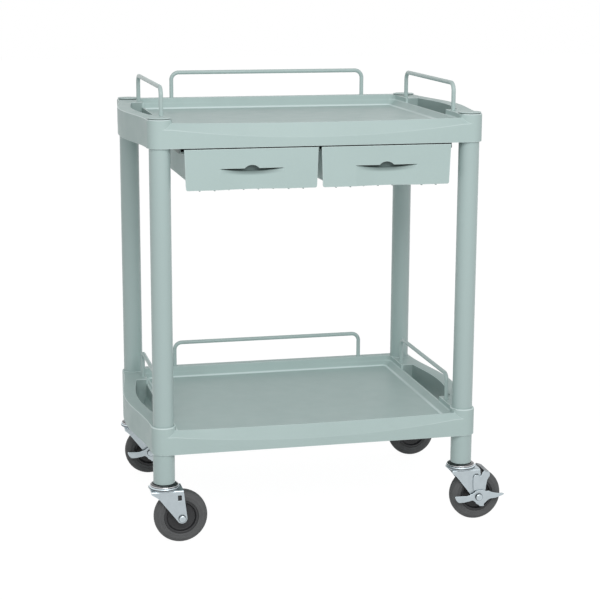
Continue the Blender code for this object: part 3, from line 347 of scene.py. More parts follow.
class Finish:
    """A material built up node by node round its shader."""

    def __init__(self, name, colour, roughness, metallic=0.0, **settings):
        self.material = bpy.data.materials.new(name)
        self.material.use_nodes = True
        self.tree = self.material.node_tree
        self.shader = self.tree.nodes["Principled BSDF"]
        self.colour = tuple(colour)
        self.shader.inputs["Base Color"].default_value = (*colour, 1.0)
        self.shader.inputs["Roughness"].default_value = roughness
        self.shader.inputs["Metallic"].default_value = metallic
        for socket, value in settings.items():
            self.shader.inputs[socket.replace("_", " ")].default_value = value
        self.place = self.node("ShaderNodeTexCoord").outputs["Object"]
        self.tone = None

    def node(self, kind, **settings):
        node = self.tree.nodes.new(kind)
        for name, value in settings.items():
            setattr(node, name, value)
        return node

    def link(self, source, target):
        self.tree.links.new(source, target)

    def noise(self, scale, detail, stretch=(1, 1, 1)):
        """Noise at that many cells a metre, stretched along the axes."""
        mapping = self.node("ShaderNodeMapping")
        mapping.inputs["Scale"].default_value = stretch
        self.link(self.place, mapping.inputs["Vector"])
        noise = self.node("ShaderNodeTexNoise")
        noise.inputs["Scale"].default_value = scale
        noise.inputs["Detail"].default_value = detail
        self.link(mapping.outputs["Vector"], noise.inputs["Vector"])
        return noise.outputs["Fac"]

    def ranged(self, value, low, high, to_low, to_high):
        """The value, with low to high stretched over to_low to to_high and clamped there."""
        node = self.node("ShaderNodeMapRange")
        limits = {"From Min": low, "From Max": high, "To Min": to_low, "To Max": to_high}
        for socket, number in limits.items():
            node.inputs[socket].default_value = number
        self.link(value, node.inputs["Value"])
        return node.outputs["Result"]

    def tint(self, amount, colour):
        """Lays a colour over what there is, as strongly as the amount says."""
        mix = self.node("ShaderNodeMix", data_type="RGBA")
        self.link(amount, mix.inputs["Factor"])
        if self.tone is None:
            mix.inputs["A"].default_value = (*self.colour, 1.0)
        else:
            self.link(self.tone, mix.inputs["A"])
        mix.inputs["B"].default_value = (*colour, 1.0)
        self.tone = mix.outputs["Result"]
        self.link(self.tone, self.shader.inputs["Base Color"])

    def shade(self, amount):
        """The finish's colour made lighter, or darker where the amount is below 1."""
        return tuple(min(channel * amount, 1.0) for channel in self.colour)

    def drift(self, shade, share, scale, detail, low, high, stretch=(1, 1, 1)):
        """Patches of another shade, whose share grows as the noise rises from low to high."""
        noise = self.noise(scale, detail, stretch)
        self.tint(self.ranged(noise, low, high, 0.0, share), self.shade(shade))

    def paint_highlights_and_shade(self, paler, on_edges, in_recesses, depth=0.4):
        """Paints highlights along the edges in a paler shade, and paints shade of depth *
        colour^1.35 in the recesses.

        The piece's own attribute says where: 1 on an edge, 0 on the flat, -1 deep in a recess.
        """
        fuller = 1.35
        edge = self.node("ShaderNodeAttribute", attribute_name="edge").outputs["Fac"]
        deep = tuple(depth * channel**fuller for channel in self.colour)
        self.tint(self.ranged(edge, 0.0, 1.0, 0.0, on_edges), self.shade(paler))
        self.tint(self.ranged(edge, 0.0, -1.0, 0.0, in_recesses), deep)

    def gloss(self, smoothest, roughest, scale, detail, low, high):
        """Roughness that rises with the noise."""
        noise = self.noise(scale, detail)
        rough = self.ranged(noise, low, high, smoothest, roughest)
        self.link(rough, self.shader.inputs["Roughness"])

    def relief(self, height, scale, detail, stretch=(1, 1, 1), strength=0.5):
        """Bumps of that height."""
        bump = self.node("ShaderNodeBump")
        bump.inputs["Strength"].default_value = strength
        bump.inputs["Distance"].default_value = height
        self.link(self.noise(scale, detail, stretch), bump.inputs["Height"])
        self.link(bump.outputs["Normal"], self.shader.inputs["Normal"])


def moulded_plastic(name, colour):
    """Moulded polypropylene: fine grain, slow drifts of tone, painted highlights on the edges and
    painted shade in recesses, a few scuffs.
    """
    finish = Finish(name, colour, roughness=0.5, Specular_IOR_Level=0.2)
    finish.drift(shade=0.93, share=0.35, scale=9, detail=4, low=0.35, high=0.7)
    finish.drift(shade=1.06, share=0.25, scale=160, detail=2, low=0.55, high=0.8)
    finish.paint_highlights_and_shade(paler=1.8, on_edges=0.85, in_recesses=0.9)
    finish.gloss(smoothest=0.38, roughest=0.52, scale=35, detail=5, low=0.3, high=0.75)
    finish.relief(height=0.06 * MM, scale=1400, detail=2)
    return finish.material


def coated_tube(name, colour):
    """Powder-coated metal: slight orange peel and a soft gloss."""
    coat = {"Specular_IOR_Level": 0.5, "Coat_Weight": 0.12, "Coat_Roughness": 0.25}
    finish = Finish(name, colour, roughness=0.38, **coat)
    long = (1, 1, 0.2)
    finish.drift(shade=0.92, share=0.35, scale=14, detail=4, low=0.35, high=0.7, stretch=long)
    # Painted highlights along the rounded edges, painted shade in recesses.
    finish.paint_highlights_and_shade(paler=1.3, on_edges=0.5, in_recesses=0.9)
    finish.gloss(smoothest=0.32, roughest=0.46, scale=60, detail=4, low=0.3, high=0.75)
    finish.relief(height=0.05 * MM, scale=420, detail=2)
    return finish.material


def zinc_plate(name, colour):
    """Bright zinc plate: pale bluish metal with faint blotches, fine rolling lines, painted
    highlights on the edges and painted shade on sheet sides and in recesses.
    """
    finish = Finish(name, colour, roughness=0.34, metallic=1.0)
    finish.drift(shade=0.86, share=0.5, scale=70, detail=5, low=0.4, high=0.65)
    finish.drift(shade=1.06, share=0.3, scale=320, detail=3, low=0.55, high=0.75)
    finish.paint_highlights_and_shade(paler=1.5, on_edges=0.9, in_recesses=1.0, depth=0.12)
    finish.gloss(smoothest=0.28, roughest=0.46, scale=90, detail=5, low=0.3, high=0.7)
    finish.relief(height=0.03 * MM, scale=900, detail=2, stretch=(1, 1, 0.08))
    return finish.material


def chrome_race(name, colour):
    """Polished plated steel with fine turning lines and a little dust."""
    finish = Finish(name, colour, roughness=0.12, metallic=1.0)
    finish.drift(shade=0.75, share=0.35, scale=110, detail=4, low=0.5, high=0.75)
    # Painted highlights on the rounded edges, painted shade on the plain bands and in recesses.
    finish.paint_highlights_and_shade(paler=1.3, on_edges=0.9, in_recesses=1.0, depth=0.1)
    finish.gloss(smoothest=0.08, roughest=0.2, scale=220, detail=4, low=0.35, high=0.7)
    finish.relief(height=0.02 * MM, scale=700, detail=2, stretch=(0.05, 0.05, 1), strength=0.4)
    return finish.material


def wheel_rubber(name, colour):
    """Grey non-marking rubber: dull, dusty, with a scuffed tread, painted highlights on its edges
    and painted shade in recesses.
    """
    finish = Finish(name, colour, roughness=0.72, Specular_IOR_Level=0.35)
    finish.drift(shade=0.82, share=0.5, scale=45, detail=5, low=0.4, high=0.7)
    finish.drift(shade=1.15, share=0.4, scale=500, detail=2, low=0.55, high=0.8)
    finish.paint_highlights_and_shade(paler=1.3, on_edges=0.5, in_recesses=0.8)
    finish.gloss(smoothest=0.62, roughest=0.82, scale=80, detail=4, low=0.3, high=0.75)
    finish.relief(height=0.12 * MM, scale=650, detail=3)
    return finish.material


def hub_plastic(name, colour):
    """Dark glass-filled nylon, faintly speckled."""
    finish = Finish(name, colour, roughness=0.48, Specular_IOR_Level=0.45)
    finish.drift(shade=1.6, share=0.5, scale=900, detail=2, low=0.55, high=0.8)
    # Painted highlights along the rounded edges, painted shade in recesses.
    finish.paint_highlights_and_shade(paler=1.9, on_edges=0.5, in_recesses=0.8)
    finish.gloss(smoothest=0.4, roughest=0.58, scale=120, detail=4, low=0.3, high=0.75)
    finish.relief(height=0.06 * MM, scale=800, detail=2)
    return finish.material


FINISHES = {
    "body_plastic": moulded_plastic,
    "runner_plastic": moulded_plastic,
    "post_coating": coated_tube,
    "rail_coating": coated_tube,
    "zinc_plate": zinc_plate,
    "race_chrome": chrome_race,
    "tyre_rubber": wheel_rubber,
    "hub_plastic": hub_plastic,
}


def finish_for(context, slot):
    """The finish of a material slot, made the first time that a piece asks for it."""
    made = bpy.data.materials.get(f"cart_{slot}")
    return made or FINISHES[slot](f"cart_{slot}", getattr(context.scene.cart_colours, slot))


# Pieces


def add_piece(context, name, shape, node, body, slot, sharp=35, even=True):
    """Puts a closed surface into a mesh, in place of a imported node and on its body.

    Its seams are joined, its faces turned out, and edges sharper than the angle kept crisp.
    """
    points, faces, near = shape
    triangles = faces[:, 2] == faces[:, 3]
    mesh = bpy.data.meshes.new(name)
    quads = faces[~triangles].tolist()
    mesh.from_pydata(points.tolist(), [], quads + faces[triangles][:, :3].tolist())
    # The "edge" attribute says where the finish paints highlights (above 0) and shade (below 0).
    edge = mesh.attributes.new("edge", "FLOAT", "POINT")
    edge.data.foreach_set("value", near.astype(np.float32))
    seam = 0.004 * MM
    work = bmesh.new()
    work.from_mesh(mesh)
    bmesh.ops.remove_doubles(work, verts=work.verts, dist=seam)
    bmesh.ops.dissolve_degenerate(work, edges=work.edges, dist=seam)
    bmesh.ops.recalc_face_normals(work, faces=work.faces)
    work.to_mesh(mesh)
    work.free()
    mesh.shade_smooth()
    mesh.set_sharp_from_angle(angle=math.radians(sharp))
    mesh.materials.append(finish_for(context, slot))
    piece = bpy.data.objects.new(name, mesh)
    context.scene.collection.objects.link(piece)
    if even:
        modifier = piece.modifiers.new("even_shading", "WEIGHTED_NORMAL")
        modifier.keep_sharp = True
    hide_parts(node)
    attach(piece, body)


# Trays

WALL = 3 * MM
WELL_INSET = 18.9 * MM  # the well ends that far inside the posts' axes
BACK_LEDGE = 18.8 * MM  # from the skirt's back to the well
END_SLOPE, FRONT_SLOPE, BACK_SLOPE = 11.1 * MM, 11 * MM, 4.5 * MM  # plan widths of its slopes
SLOPE_TOP = 10 * MM  # drop of the slope's upper bend
SLOPE_DIP = 1.5 * MM  # and how much more in front and by the holes
FLOOR_EDGE = 0.93  # the floor's last ring, as a share of the way to the slope's foot
FRONT_BEND, REAR_BEND, REAR_FOOT_BEND = 4 * MM, 14 * MM, 8 * MM  # corner radii of the well
CRESCENT_WIDTH = 8.8 * MM  # plan width in the middle
CRESCENT_TOP = 8.5 * MM, 6 * MM  # drop of its upper edge, in the middle and at the ends
CRESCENT_LOW = 34.5 * MM, 17.4 * MM  # and of its lower edge
CRESCENT_END = np.array([3, 2, 1.2, 0.6, 0]) * MM  # columns before its end, where it fades out
HOLE_EDGE = 0.9 * MM  # radius of a hand hole's edges
HOLE_GAP = 2.1 * MM, 2.8 * MM  # from the well's rim to the hole and to its corners' middle
HOLE_DRAFT = 8.4 * MM  # lean of the hole's inner wall
BAND_BEND = 3 * MM  # width of the bend from the hole onto the band outside it
HOLE_MARGINS = np.array([0.9, 1.5, 3.0, 3.6]) * MM  # columns past each end of the hole
SKIRT_STEP = 14 * MM, 7.8 * MM  # height and width of the step behind the front skirt
TRAY_RIBS = np.array([-192, -64, 64, 192]) * MM
RIB_HALF, RIB_DEPTH, RIB_EDGE = 1.2 * MM, 12 * MM, 0.3 * MM
BEAD = ((19.3, -0.8, 0), (19.3, 0.6, 0.3), (21.6, 0.6, 0.9), (22.3, -0.8, 0))  # mm, see CAP
FIELDS = ("outer", "inner", "rim", "foot", "edge", "lip", "drop", "base", "step")


class TrayPlan:
    """Half of a tray seen from above, from the middle of the front round to the middle of the back.

    Every array has one entry for each column of the tray's grid:
    outer and inner, the skirt's faces; rim, the well's upper edge; foot, where its slope meets the
    floor; edge, where the top surface ends, which is the boss's circle where the crescent passes in
    front of it, or else the outer face; lip and drop, how far down the crescent's upper and lower
    edges are; base, the crescent's drop at the edge; step, how much of the skirt's step there is.
    """

    def __init__(self, sizes):
        self.sizes = sizes
        boss = sizes.boss_radius
        self.skirt = POST_Y + boss
        self.end = POST_X - WELL_INSET
        self.foot_end = self.end - END_SLOPE
        self.bite = math.acos(WELL_INSET / boss)
        self.side_y = boss * math.sin(self.bite) - POST_Y
        self.width_end = boss - boss * math.sin(self.bite)
        self.foot_y = self.width_end + FRONT_SLOPE + FRONT_BEND - self.skirt
        self.back = self.skirt - BACK_LEDGE
        self.rear_y = self.back - REAR_BEND
        self.rear_foot_y = self.back - BACK_SLOPE - REAR_FOOT_BEND
        self.rear_x = self.end - REAR_BEND
        self.tip = POST_X - self.end
        regions = [self.front(), self.corner(), self.side(), self.back_corner(), self.rear()]
        counts = [len(region["outer"]) for region in regions]
        self.region = np.repeat(np.arange(len(regions)), counts)
        for name in FIELDS:
            setattr(self, name, np.concatenate([region[name] for region in regions]))
        self.in_front, self.at_end = self.region == 0, self.region == 2
        self.length = np.zeros(len(self.region))
        self.length[self.region == 1] = regions[1]["length"]
        past = np.abs(self.outer[:, 1]) - sizes.grip_length / 2
        self.on_hole = self.at_end & (past < (HOLE_MARGINS[0] + HOLE_MARGINS[1]) / 2)
        self.on_collar = self.at_end & (past < (HOLE_MARGINS[2] + HOLE_MARGINS[3]) / 2)

    def stretch(self, outer, inner, rim, foot, edge=None, lip=0.0, drop=None, base=None, step=0.0):
        """One stretch of the plan. What it doesn't name is as along the ends and the back."""
        drop = CRESCENT_LOW[1] if drop is None else drop
        base = drop if base is None else base
        numbers = {"lip": lip, "drop": drop, "base": base, "step": step}
        fields = {name: np.broadcast_to(value, len(outer)) for name, value in numbers.items()}
        edge = outer if edge is None else edge
        return {**fields, "outer": outer, "inner": inner, "rim": rim, "foot": foot, "edge": edge}

    def front(self):
        """Along the front: the crescent changes with (x / end)^2 from its middle to its ends."""
        x = np.linspace(0, self.end - CRESCENT_END[0], 56, endpoint=False)
        x = np.append(x, self.end - CRESCENT_END)
        across = (x / self.end) ** 2

        def blend(middle, end):
            return middle + (end - middle) * across

        width = blend(CRESCENT_WIDTH, self.width_end)
        rim = pairs(x, width - self.skirt)
        foot_x = x * (self.foot_end - FRONT_BEND) / self.end
        return self.stretch(
            outer=pairs(x, -self.skirt),
            inner=pairs(x, WALL - self.skirt),
            rim=rim,
            foot=pairs(foot_x, width + FRONT_SLOPE - self.skirt),
            edge=rim,
            lip=blend(*CRESCENT_TOP),
            drop=blend(*CRESCENT_LOW),
            step=1.0,
        )

    def corner(self):
        """Round the front boss: the outside follows it, and the well's rim bites round behind."""
        boss = self.sizes.boss_radius
        path = self.outer_corner()
        whole = run_of(path)[-1]
        tip = self.tip / MM
        near = np.array([0.15, 0.7, 2.0, tip - 0.6, tip, tip + 0.6]) * MM
        length = np.sort(np.append(np.linspace(0, whole, 52, endpoint=False)[1:], near))
        share = length / whole
        outer = along(path, share)
        edge = outer.copy()
        on_tip = length < self.tip
        edge[on_tip, 1] = -POST_Y - np.sqrt(boss**2 - (POST_X - outer[on_tip, 0]) ** 2)
        slope = (CRESCENT_LOW[1] - CRESCENT_TOP[1]) / self.width_end
        foot_centre = (self.foot_end - FRONT_BEND, self.foot_y)
        region = self.stretch(
            outer=outer,
            inner=along(self.inner_corner(), share),
            rim=arc((POST_X, -POST_Y), boss, math.pi + self.bite * (1 - 2 * share)),
            foot=arc(foot_centre, FRONT_BEND, (share - 1) * math.pi / 2),
            edge=edge,
            base=CRESCENT_LOW[1] - slope * (edge[:, 1] + self.skirt) * on_tip,
            step=1 - smooth_step(length, 1 * MM, 8 * MM),
        )
        return {**region, "length": length}

    def side(self):
        """Along the end, with columns on both sides of each end of the hand hole."""
        marks = self.sizes.grip_length / 2 + HOLE_MARGINS
        marks = np.concatenate([-marks, marks])
        y = np.linspace(self.side_y, self.rear_y, 64, endpoint=False)
        y = y[np.abs(y[:, None] - marks).min(1) > 1.2 * MM]
        y = np.sort(np.append(y, marks))
        share = (y - y[0]) / (y[-1] - y[0])
        return self.stretch(
            outer=pairs(self.end_face(y), y),
            inner=pairs(self.end_face(y) - WALL, y),
            rim=pairs(self.end, y),
            foot=pairs(self.foot_end, self.foot_y + share * (self.rear_foot_y - self.foot_y)),
        )

    def back_corner(self):
        """Round the rear boss."""
        share = np.linspace(0, 1, 22, endpoint=False)
        angle = share * math.pi / 2
        foot_centre = (self.foot_end - REAR_FOOT_BEND, self.rear_foot_y)
        return self.stretch(
            outer=along(self.outer_back(), share),
            inner=along(self.inner_back(), share),
            rim=arc((self.rear_x, self.rear_y), REAR_BEND, angle),
            foot=arc(foot_centre, REAR_FOOT_BEND, angle),
        )

    def rear(self):
        """Along the back to its middle."""
        x = np.linspace(self.rear_x, 0, 24)
        foot_x = x * (self.foot_end - REAR_FOOT_BEND) / self.rear_x
        return self.stretch(
            outer=pairs(x, self.skirt),
            inner=pairs(x, self.skirt - WALL),
            rim=pairs(x, self.back),
            foot=pairs(foot_x, self.back - BACK_SLOPE),
        )

    def end_face(self, y):
        """How far out the end stands: a swell of bulge (1 + cos(pi y / post y)) / 2."""
        swell = self.sizes.end_bulge * 0.5 * (1 + np.cos(math.pi * y / POST_Y))
        return POST_X + self.sizes.boss_radius + swell

    def outer_corner(self):
        """Along the front, round the boss and a little up the end."""
        x = np.linspace(self.end, POST_X, 40)
        angle = np.linspace(-math.pi / 2, 0, 60)[1:-1]
        y = np.linspace(-POST_Y, self.side_y, 20)
        boss = arc((POST_X, -POST_Y), self.sizes.boss_radius, angle)
        return np.concatenate([pairs(x, -self.skirt), boss, pairs(self.end_face(y), y)])

    def outer_back(self):
        """Up the end, round the boss and a little along the back."""
        y = np.linspace(self.rear_y, POST_Y, 12)
        angle = np.linspace(0, math.pi / 2, 60)[1:-1]
        x = np.linspace(POST_X, self.rear_x, 20)
        boss = arc((POST_X, POST_Y), self.sizes.boss_radius, angle)
        return np.concatenate([pairs(self.end_face(y), y), boss, pairs(x, self.skirt)])

    def boss_inside(self, centre, start, end):
        """Round the side of a boss that faces the tray's middle, from skirt to skirt."""
        out = math.acos(1 - WALL / self.sizes.boss_radius)
        return arc(centre, self.sizes.boss_radius, np.linspace(start - out, end + out, 60))

    def inner_corner(self):
        """The skirt's inner face at the front corner, which goes round the boss's inner side."""
        boss = self.boss_inside((POST_X, -POST_Y), 1.5 * math.pi, 0)
        y = np.linspace(boss[-1, 1], self.side_y, 8)[1:]
        return np.concatenate([[[self.end, boss[0, 1]]], boss, pairs(self.end_face(y) - WALL, y)])

    def inner_back(self):
        """The skirt's inner face at the back corner, which goes round the boss's inner side."""
        boss = self.boss_inside((POST_X, POST_Y), 2 * math.pi, 0.5 * math.pi)
        first = [self.end_face(self.rear_y) - WALL, self.rear_y]
        return np.concatenate([[first], boss, [[self.rear_x, boss[-1, 1]]]])


def tray_shape(sizes):
    """A whole tray as one closed skin, with its top surface's corner bosses at height 0.

    Rings run round the tray, from the middle of the floor out over the rim, down the skirt and back
    under the floor. Each ring's plan is a line between the well's rim and the outer face, or one of
    them. The corners between rings are rounded. Cells over the hand holes are left out of the upper
    and lower sheets, and a grid round each hole joins the two.
    """
    plan = TrayPlan(sizes)
    count = len(plan.drop)
    in_front, at_end, on_hole = plan.in_front, plan.at_end, plan.on_hole
    y = plan.outer[:, 1]
    on_tip = (plan.region == 1) & (plan.length < plan.tip)
    rings, setback, numbers = [], [], {}

    def ring(points, height, rounding, name=None):
        """Adds a ring at that height, its bend rounded by that many millimetres."""
        numbers[name] = len(rings)
        rings.append(np.column_stack([points, np.broadcast_to(height, count)]))
        setback.append(np.broadcast_to(np.asarray(rounding) * MM, count))

    floor, bottom = -sizes.floor_drop, -sizes.tray_height
    for share in (0, 0.5, FLOOR_EDGE):
        ring(plan.foot * share, floor, 0)
    ring(plan.foot, floor, 4)
    from_front = 1 - smooth_step(plan.length, 0, 4 * MM)
    dip = SLOPE_DIP * np.where(plan.region > 1, on_hole, from_front)
    slope = plan.rim + (plan.foot - plan.rim) * (dip / (sizes.floor_drop - SLOPE_TOP))[:, None]
    slope[:, 1] -= np.where(plan.region > 2, BACK_SLOPE / 2, 0)
    ring(slope, -SLOPE_TOP - dip, 2.5)
    ring(plan.rim, np.where(on_hole, -sizes.grip_low, -plan.lip), 0.9)

    fade = 1 - smooth_step(plan.outer[:, 0], plan.end - CRESCENT_END[0], plan.end)

    def upper(share, front_share, end_x, rounding, name=None, height=0.0):
        """A ring at a share of the way from the rim to the edge, or down the crescent in front."""
        down = front_share * fade
        points = plan.rim + (plan.edge - plan.rim) * share
        points[in_front] = (plan.rim + (plan.outer - plan.rim) * down[:, None])[in_front]
        if end_x is not None:
            points[at_end] = pairs(end_x, y)[at_end]
        crescent = -plan.lip - (plan.drop - plan.lip) * down
        ring(points, np.where(in_front, crescent, height), rounding, name)

    to_hole, to_middle = plan.rim[:, 0] + HOLE_GAP[0], plan.rim[:, 0] + HOLE_GAP[1]
    band_x = plan.outer[:, 0] - sizes.grip_band + HOLE_EDGE
    sharp = np.where(on_hole, 0, 0.5)
    upper(0.05, 0.2, to_hole, sharp, "hole_inner", np.where(on_hole, -sizes.grip_low, 0))
    upper(0.07, 0.3, to_middle, sharp, "hole_middle")
    upper(0.42, 0.5, band_x, 0, "hole_outer")
    upper(0.47, 0.6, band_x + BAND_BEND, 0)
    upper(1.0, 0.75, None, np.where(in_front, 0, 1.6))
    upper(1.0, 0.85, None, np.where(on_tip, 0.5, 0), height=-plan.base)
    ring(plan.outer, -plan.drop, np.where(in_front | on_tip, 1.0, 0))
    ring(plan.outer, bottom, 0.9)
    ring(plan.inner, bottom, 0.6)
    ceiling = floor - WALL
    shelf_height = ceiling - SKIRT_STEP[0] * plan.step
    ring(plan.inner, shelf_height, 1)
    goal = plan.foot * FLOOR_EDGE
    towards = goal - plan.inner
    towards /= np.linalg.norm(towards, axis=1)[:, None]
    shelf = plan.inner + towards * (1 * MM + SKIRT_STEP[1] * plan.step)[:, None]
    ring(shelf, shelf_height, 1)
    ring(shelf + towards * 0.6 * MM, ceiling, 1)

    def under(share, x, height, name=None):
        """A ring under the floor, which drops to the tray's bottom in the collar round a hole."""
        points = plan.inner + (goal - plan.inner) * (0.12 + 0.88 * share)
        points[at_end] = pairs(x, y)[at_end]
        ring(points, np.where(plan.on_collar, height, ceiling), 0, name)

    under(0.20, band_x + HOLE_GAP[0], ceiling)
    under(0.22, band_x + HOLE_GAP[0], bottom)
    under(0.30, band_x, bottom, "low_outer")
    under(0.55, to_middle + HOLE_DRAFT, bottom, "low_middle")
    under(0.57, to_hole + HOLE_DRAFT, bottom, "low_inner")
    under(0.62, plan.rim[:, 0] + HOLE_DRAFT, bottom)
    under(0.64, plan.rim[:, 0], ceiling)
    ring(plan.foot * 0.90, ceiling, 0)
    ring(plan.foot * 0, ceiling, 0)

    steps = 3
    half, rounding = np.stack(rings), np.stack(setback)
    whole = np.concatenate([half, half[:, -2:0:-1] * (-1, 1, 1)], axis=1)
    rounding = np.concatenate([rounding, rounding[:, -2:0:-1]], axis=1)
    points, near = bend_corners(whole, rounding, steps, closed=False)
    hole = np.concatenate([on_hole, on_hole[-2:0:-1]])
    holed = hole & np.roll(hole, -1)
    row = np.arange(len(points) - 1) / (steps + 1)
    last = steps / (steps + 1)
    over = (row >= numbers["hole_inner"] + last) & (row < numbers["hole_outer"])
    below = (row >= numbers["low_outer"] + last) & (row < numbers["low_inner"])
    keep = ~((over | below)[:, None] & holed[None])
    skin = surface(points, near, wrap_columns=True, keep=keep)

    columns = np.flatnonzero(on_hole)
    loops = []
    for level in ("hole", "low"):
        inner, middle, outer = (
            half[numbers[f"{level}_{part}"]] for part in ("inner", "middle", "outer")
        )
        loop = (inner[columns], middle[columns[-1:]], outer[columns[::-1]], middle[columns[:1]])
        loops.append(np.concatenate(loop))
    walls = hole_wall(*loops, sizes.grip_length / 2, len(columns))
    mirrored = (walls[0] * (-1, 1, 1), walls[1], walls[2])
    return together(skin, walls, mirrored)


def hole_wall(upper, lower, half, columns):
    """The wall round a hand hole, between the loops in the upper and the lower sheet.

    From each loop it goes in by edge sin a and down or up by edge (1 - cos a), as a goes from 0 to
    90 degrees, and between the two it runs straight.
    """
    target = upper[:, :2].copy()
    target[:columns, 0] += HOLE_EDGE
    target[[columns, -1], 0] += HOLE_EDGE / 2
    target[columns + 1 : -1, 0] -= HOLE_EDGE
    target[:, 1] = np.clip(target[:, 1], -half, half)
    turn = np.linspace(0, math.pi / 2, 4)[:, None, None]
    rows = []
    for loop, way in ((upper, -1), (lower, 1)):
        plan = loop[:, :2] + (target - loop[:, :2]) * np.sin(turn)
        height = loop[:, 2:] + way * HOLE_EDGE * (1 - np.cos(turn))
        rows.append(np.concatenate([plan, np.broadcast_to(height, (*plan.shape[:2], 1))], -1))
    # Painted highlights on the hole's rounded edges, and painted shade on its wall.
    near = np.append(np.sin(turn[:-1, 0, 0] * 2), HOLE_SIDE_SHADE)[:, None]
    points = np.concatenate([rows[0], rows[1][::-1]])
    return surface(points, np.concatenate([near, near[::-1]]), wrap_columns=True)


class CART_OT_trays(bpy.types.Operator):
    """Builds both moulded trays, with ribs underneath and a bead round each post's foot"""

    bl_idname = "cart.trays"
    bl_label = "Trays"

    def execute(self, context):
        sizes = context.scene.cart_sizes
        ceiling = -sizes.floor_drop - WALL
        reach = POST_Y + sizes.boss_radius
        parts = [tray_shape(sizes)]
        for x in TRAY_RIBS:
            low = (x - RIB_HALF, -reach + 11.8 * MM, ceiling - RIB_DEPTH)
            high = (x + RIB_HALF, reach - 4 * MM, ceiling + 1 * MM)
            parts.append(slab(low, high, RIB_EDGE))
        bead = turned(np.array(BEAD) * MM, closed=True)
        beads = [moved(bead, AXES[corner] - MIDDLE) for corner in CORNERS]
        for tray, top in TRAY_TOPS.items():
            shape = together(*parts, *(beads if tray == "bottom_tray" else ()))
            shape = moved(shape, MIDDLE + (0, 0, top))
            add_piece(context, f"{tray}_moulding", shape, tray, "cart_frame", "body_plastic")
        return {"FINISHED"}


# Caps, posts, legs and rails

# Profiles as (radius, height, rounding), in mm.
CAP = (
    (0, 3.0, 0),
    (12, 2.96, 5),
    (21.3, 2.7, 0.9),
    (21.3, 1.4, 0.3),
    (19.4, 1.4, 0.2),
    (19.4, 0.3, 0),
    (16, 0.3, 0),
    (16, -9, 0.5),
    (0, -9, 0),
)
GROOVE_RADIUS, GROOVE_LOW, GROOVE_HIGH = 21.2 * MM, 0.2 * MM, 1.41 * MM
TUBE_WALL, TUBE_EDGE, LEG_EDGE, BORE_EDGE = 2 * MM, 0.4 * MM, 1.5 * MM, 0.3 * MM
LEG_BORE, STEM_BORE, BORE_STEP = 16 * MM, 8.3 * MM, 38 * MM
RAIL_FOOT = -18 * MM  # how deep a rail's ends sit in the tray
RAIL_RUNS = {  # its middle, its direction and half its length
    "back": ((0, 218 * MM, 0), (1.0, 0.0, 0.0), 199 * MM),
    "left": ((-275.2 * MM, 0, 0), (0.0, 1.0, 0.0), 150 * MM),
    "right": ((275.2 * MM, 0, 0), (0.0, 1.0, 0.0), 150 * MM),
}


class CART_OT_posts(bpy.types.Operator):
    """Builds the caps, the posts between the trays and the legs under them"""

    bl_idname = "cart.posts"
    bl_label = "Posts"

    def execute(self, context):
        sizes = context.scene.cart_sizes
        points, faces, near = turned(np.array(CAP) * MM, 72)
        away, height = np.hypot(points[:, 0], points[:, 1]), points[:, 2]
        # Painted shade in the groove under the cap's rim.
        groove = (height < GROOVE_HIGH) & (height > GROOVE_LOW) & (away < GROOVE_RADIUS)
        cap = points, faces, np.where(groove, DEEP_SHADE, near)
        for corner in CORNERS:
            axis = AXES[corner]
            shape = moved(cap, axis + (0, 0, TRAY_TOPS["top_tray"]))
            node = f"post_cap_{corner}"
            add_piece(context, f"cap_{corner}", shape, node, "cart_frame", "body_plastic")
            low, high = (box[2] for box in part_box(f"post_{corner}"))
            outside, inside = sizes.post_radius, sizes.post_radius - TUBE_WALL
            profile = [(outside, low), (outside, high), (inside, high), (inside, low)]
            profile = [(*point, TUBE_EDGE) for point in profile]
            shape = moved(turned(profile, closed=True), axis)
            node = f"post_{corner}"
            add_piece(context, f"tube_{corner}", shape, node, "cart_frame", "post_coating")
            low, high = (box[2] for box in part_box(f"leg_{corner}"))
            step, leg = low + BORE_STEP, sizes.leg_radius
            profile = [(leg, low, LEG_EDGE), (leg, high, TUBE_EDGE), (LEG_BORE, high, 0)]
            profile += [(LEG_BORE, step, 0), (STEM_BORE, step, 0), (STEM_BORE, low, BORE_EDGE)]
            shape = moved(turned(profile, closed=True), axis)
            node = f"leg_{corner}"
            add_piece(context, f"sleeve_{corner}", shape, node, "cart_frame", "post_coating")
        return {"FINISHED"}


class CART_OT_rails(bpy.types.Operator):
    """Builds the six bent rods: straight up out of the tray, along, and down again"""

    bl_idname = "cart.rails"
    bl_label = "Rails"

    def execute(self, context):
        sizes = context.scene.cart_sizes
        rise, up = sizes.rail_rise, np.array([0, 0, 1])
        for tray, top in TRAY_TOPS.items():
            for side, (middle, forwards, half) in RAIL_RUNS.items():
                flat = [[-half, RAIL_FOOT], [-half, rise], [half, rise], [half, RAIL_FOOT]]
                flat = bent(flat, sizes.rail_bend, 12, closed=False)
                path = flat[:, :1] * forwards + flat[:, 1:] * up
                shape = rod(path, np.cross(forwards, up), sizes.rail_radius, 24)
                shape = moved(shape, MIDDLE + middle + (0, 0, top))
                node = f"{tray.split('_')[0]}_rail_{side}"
                body, slot = "cart_frame", "rail_coating"
                add_piece(context, f"{node}_rod", shape, node, body, slot, even=False)
        return {"FINISHED"}


# Drawers

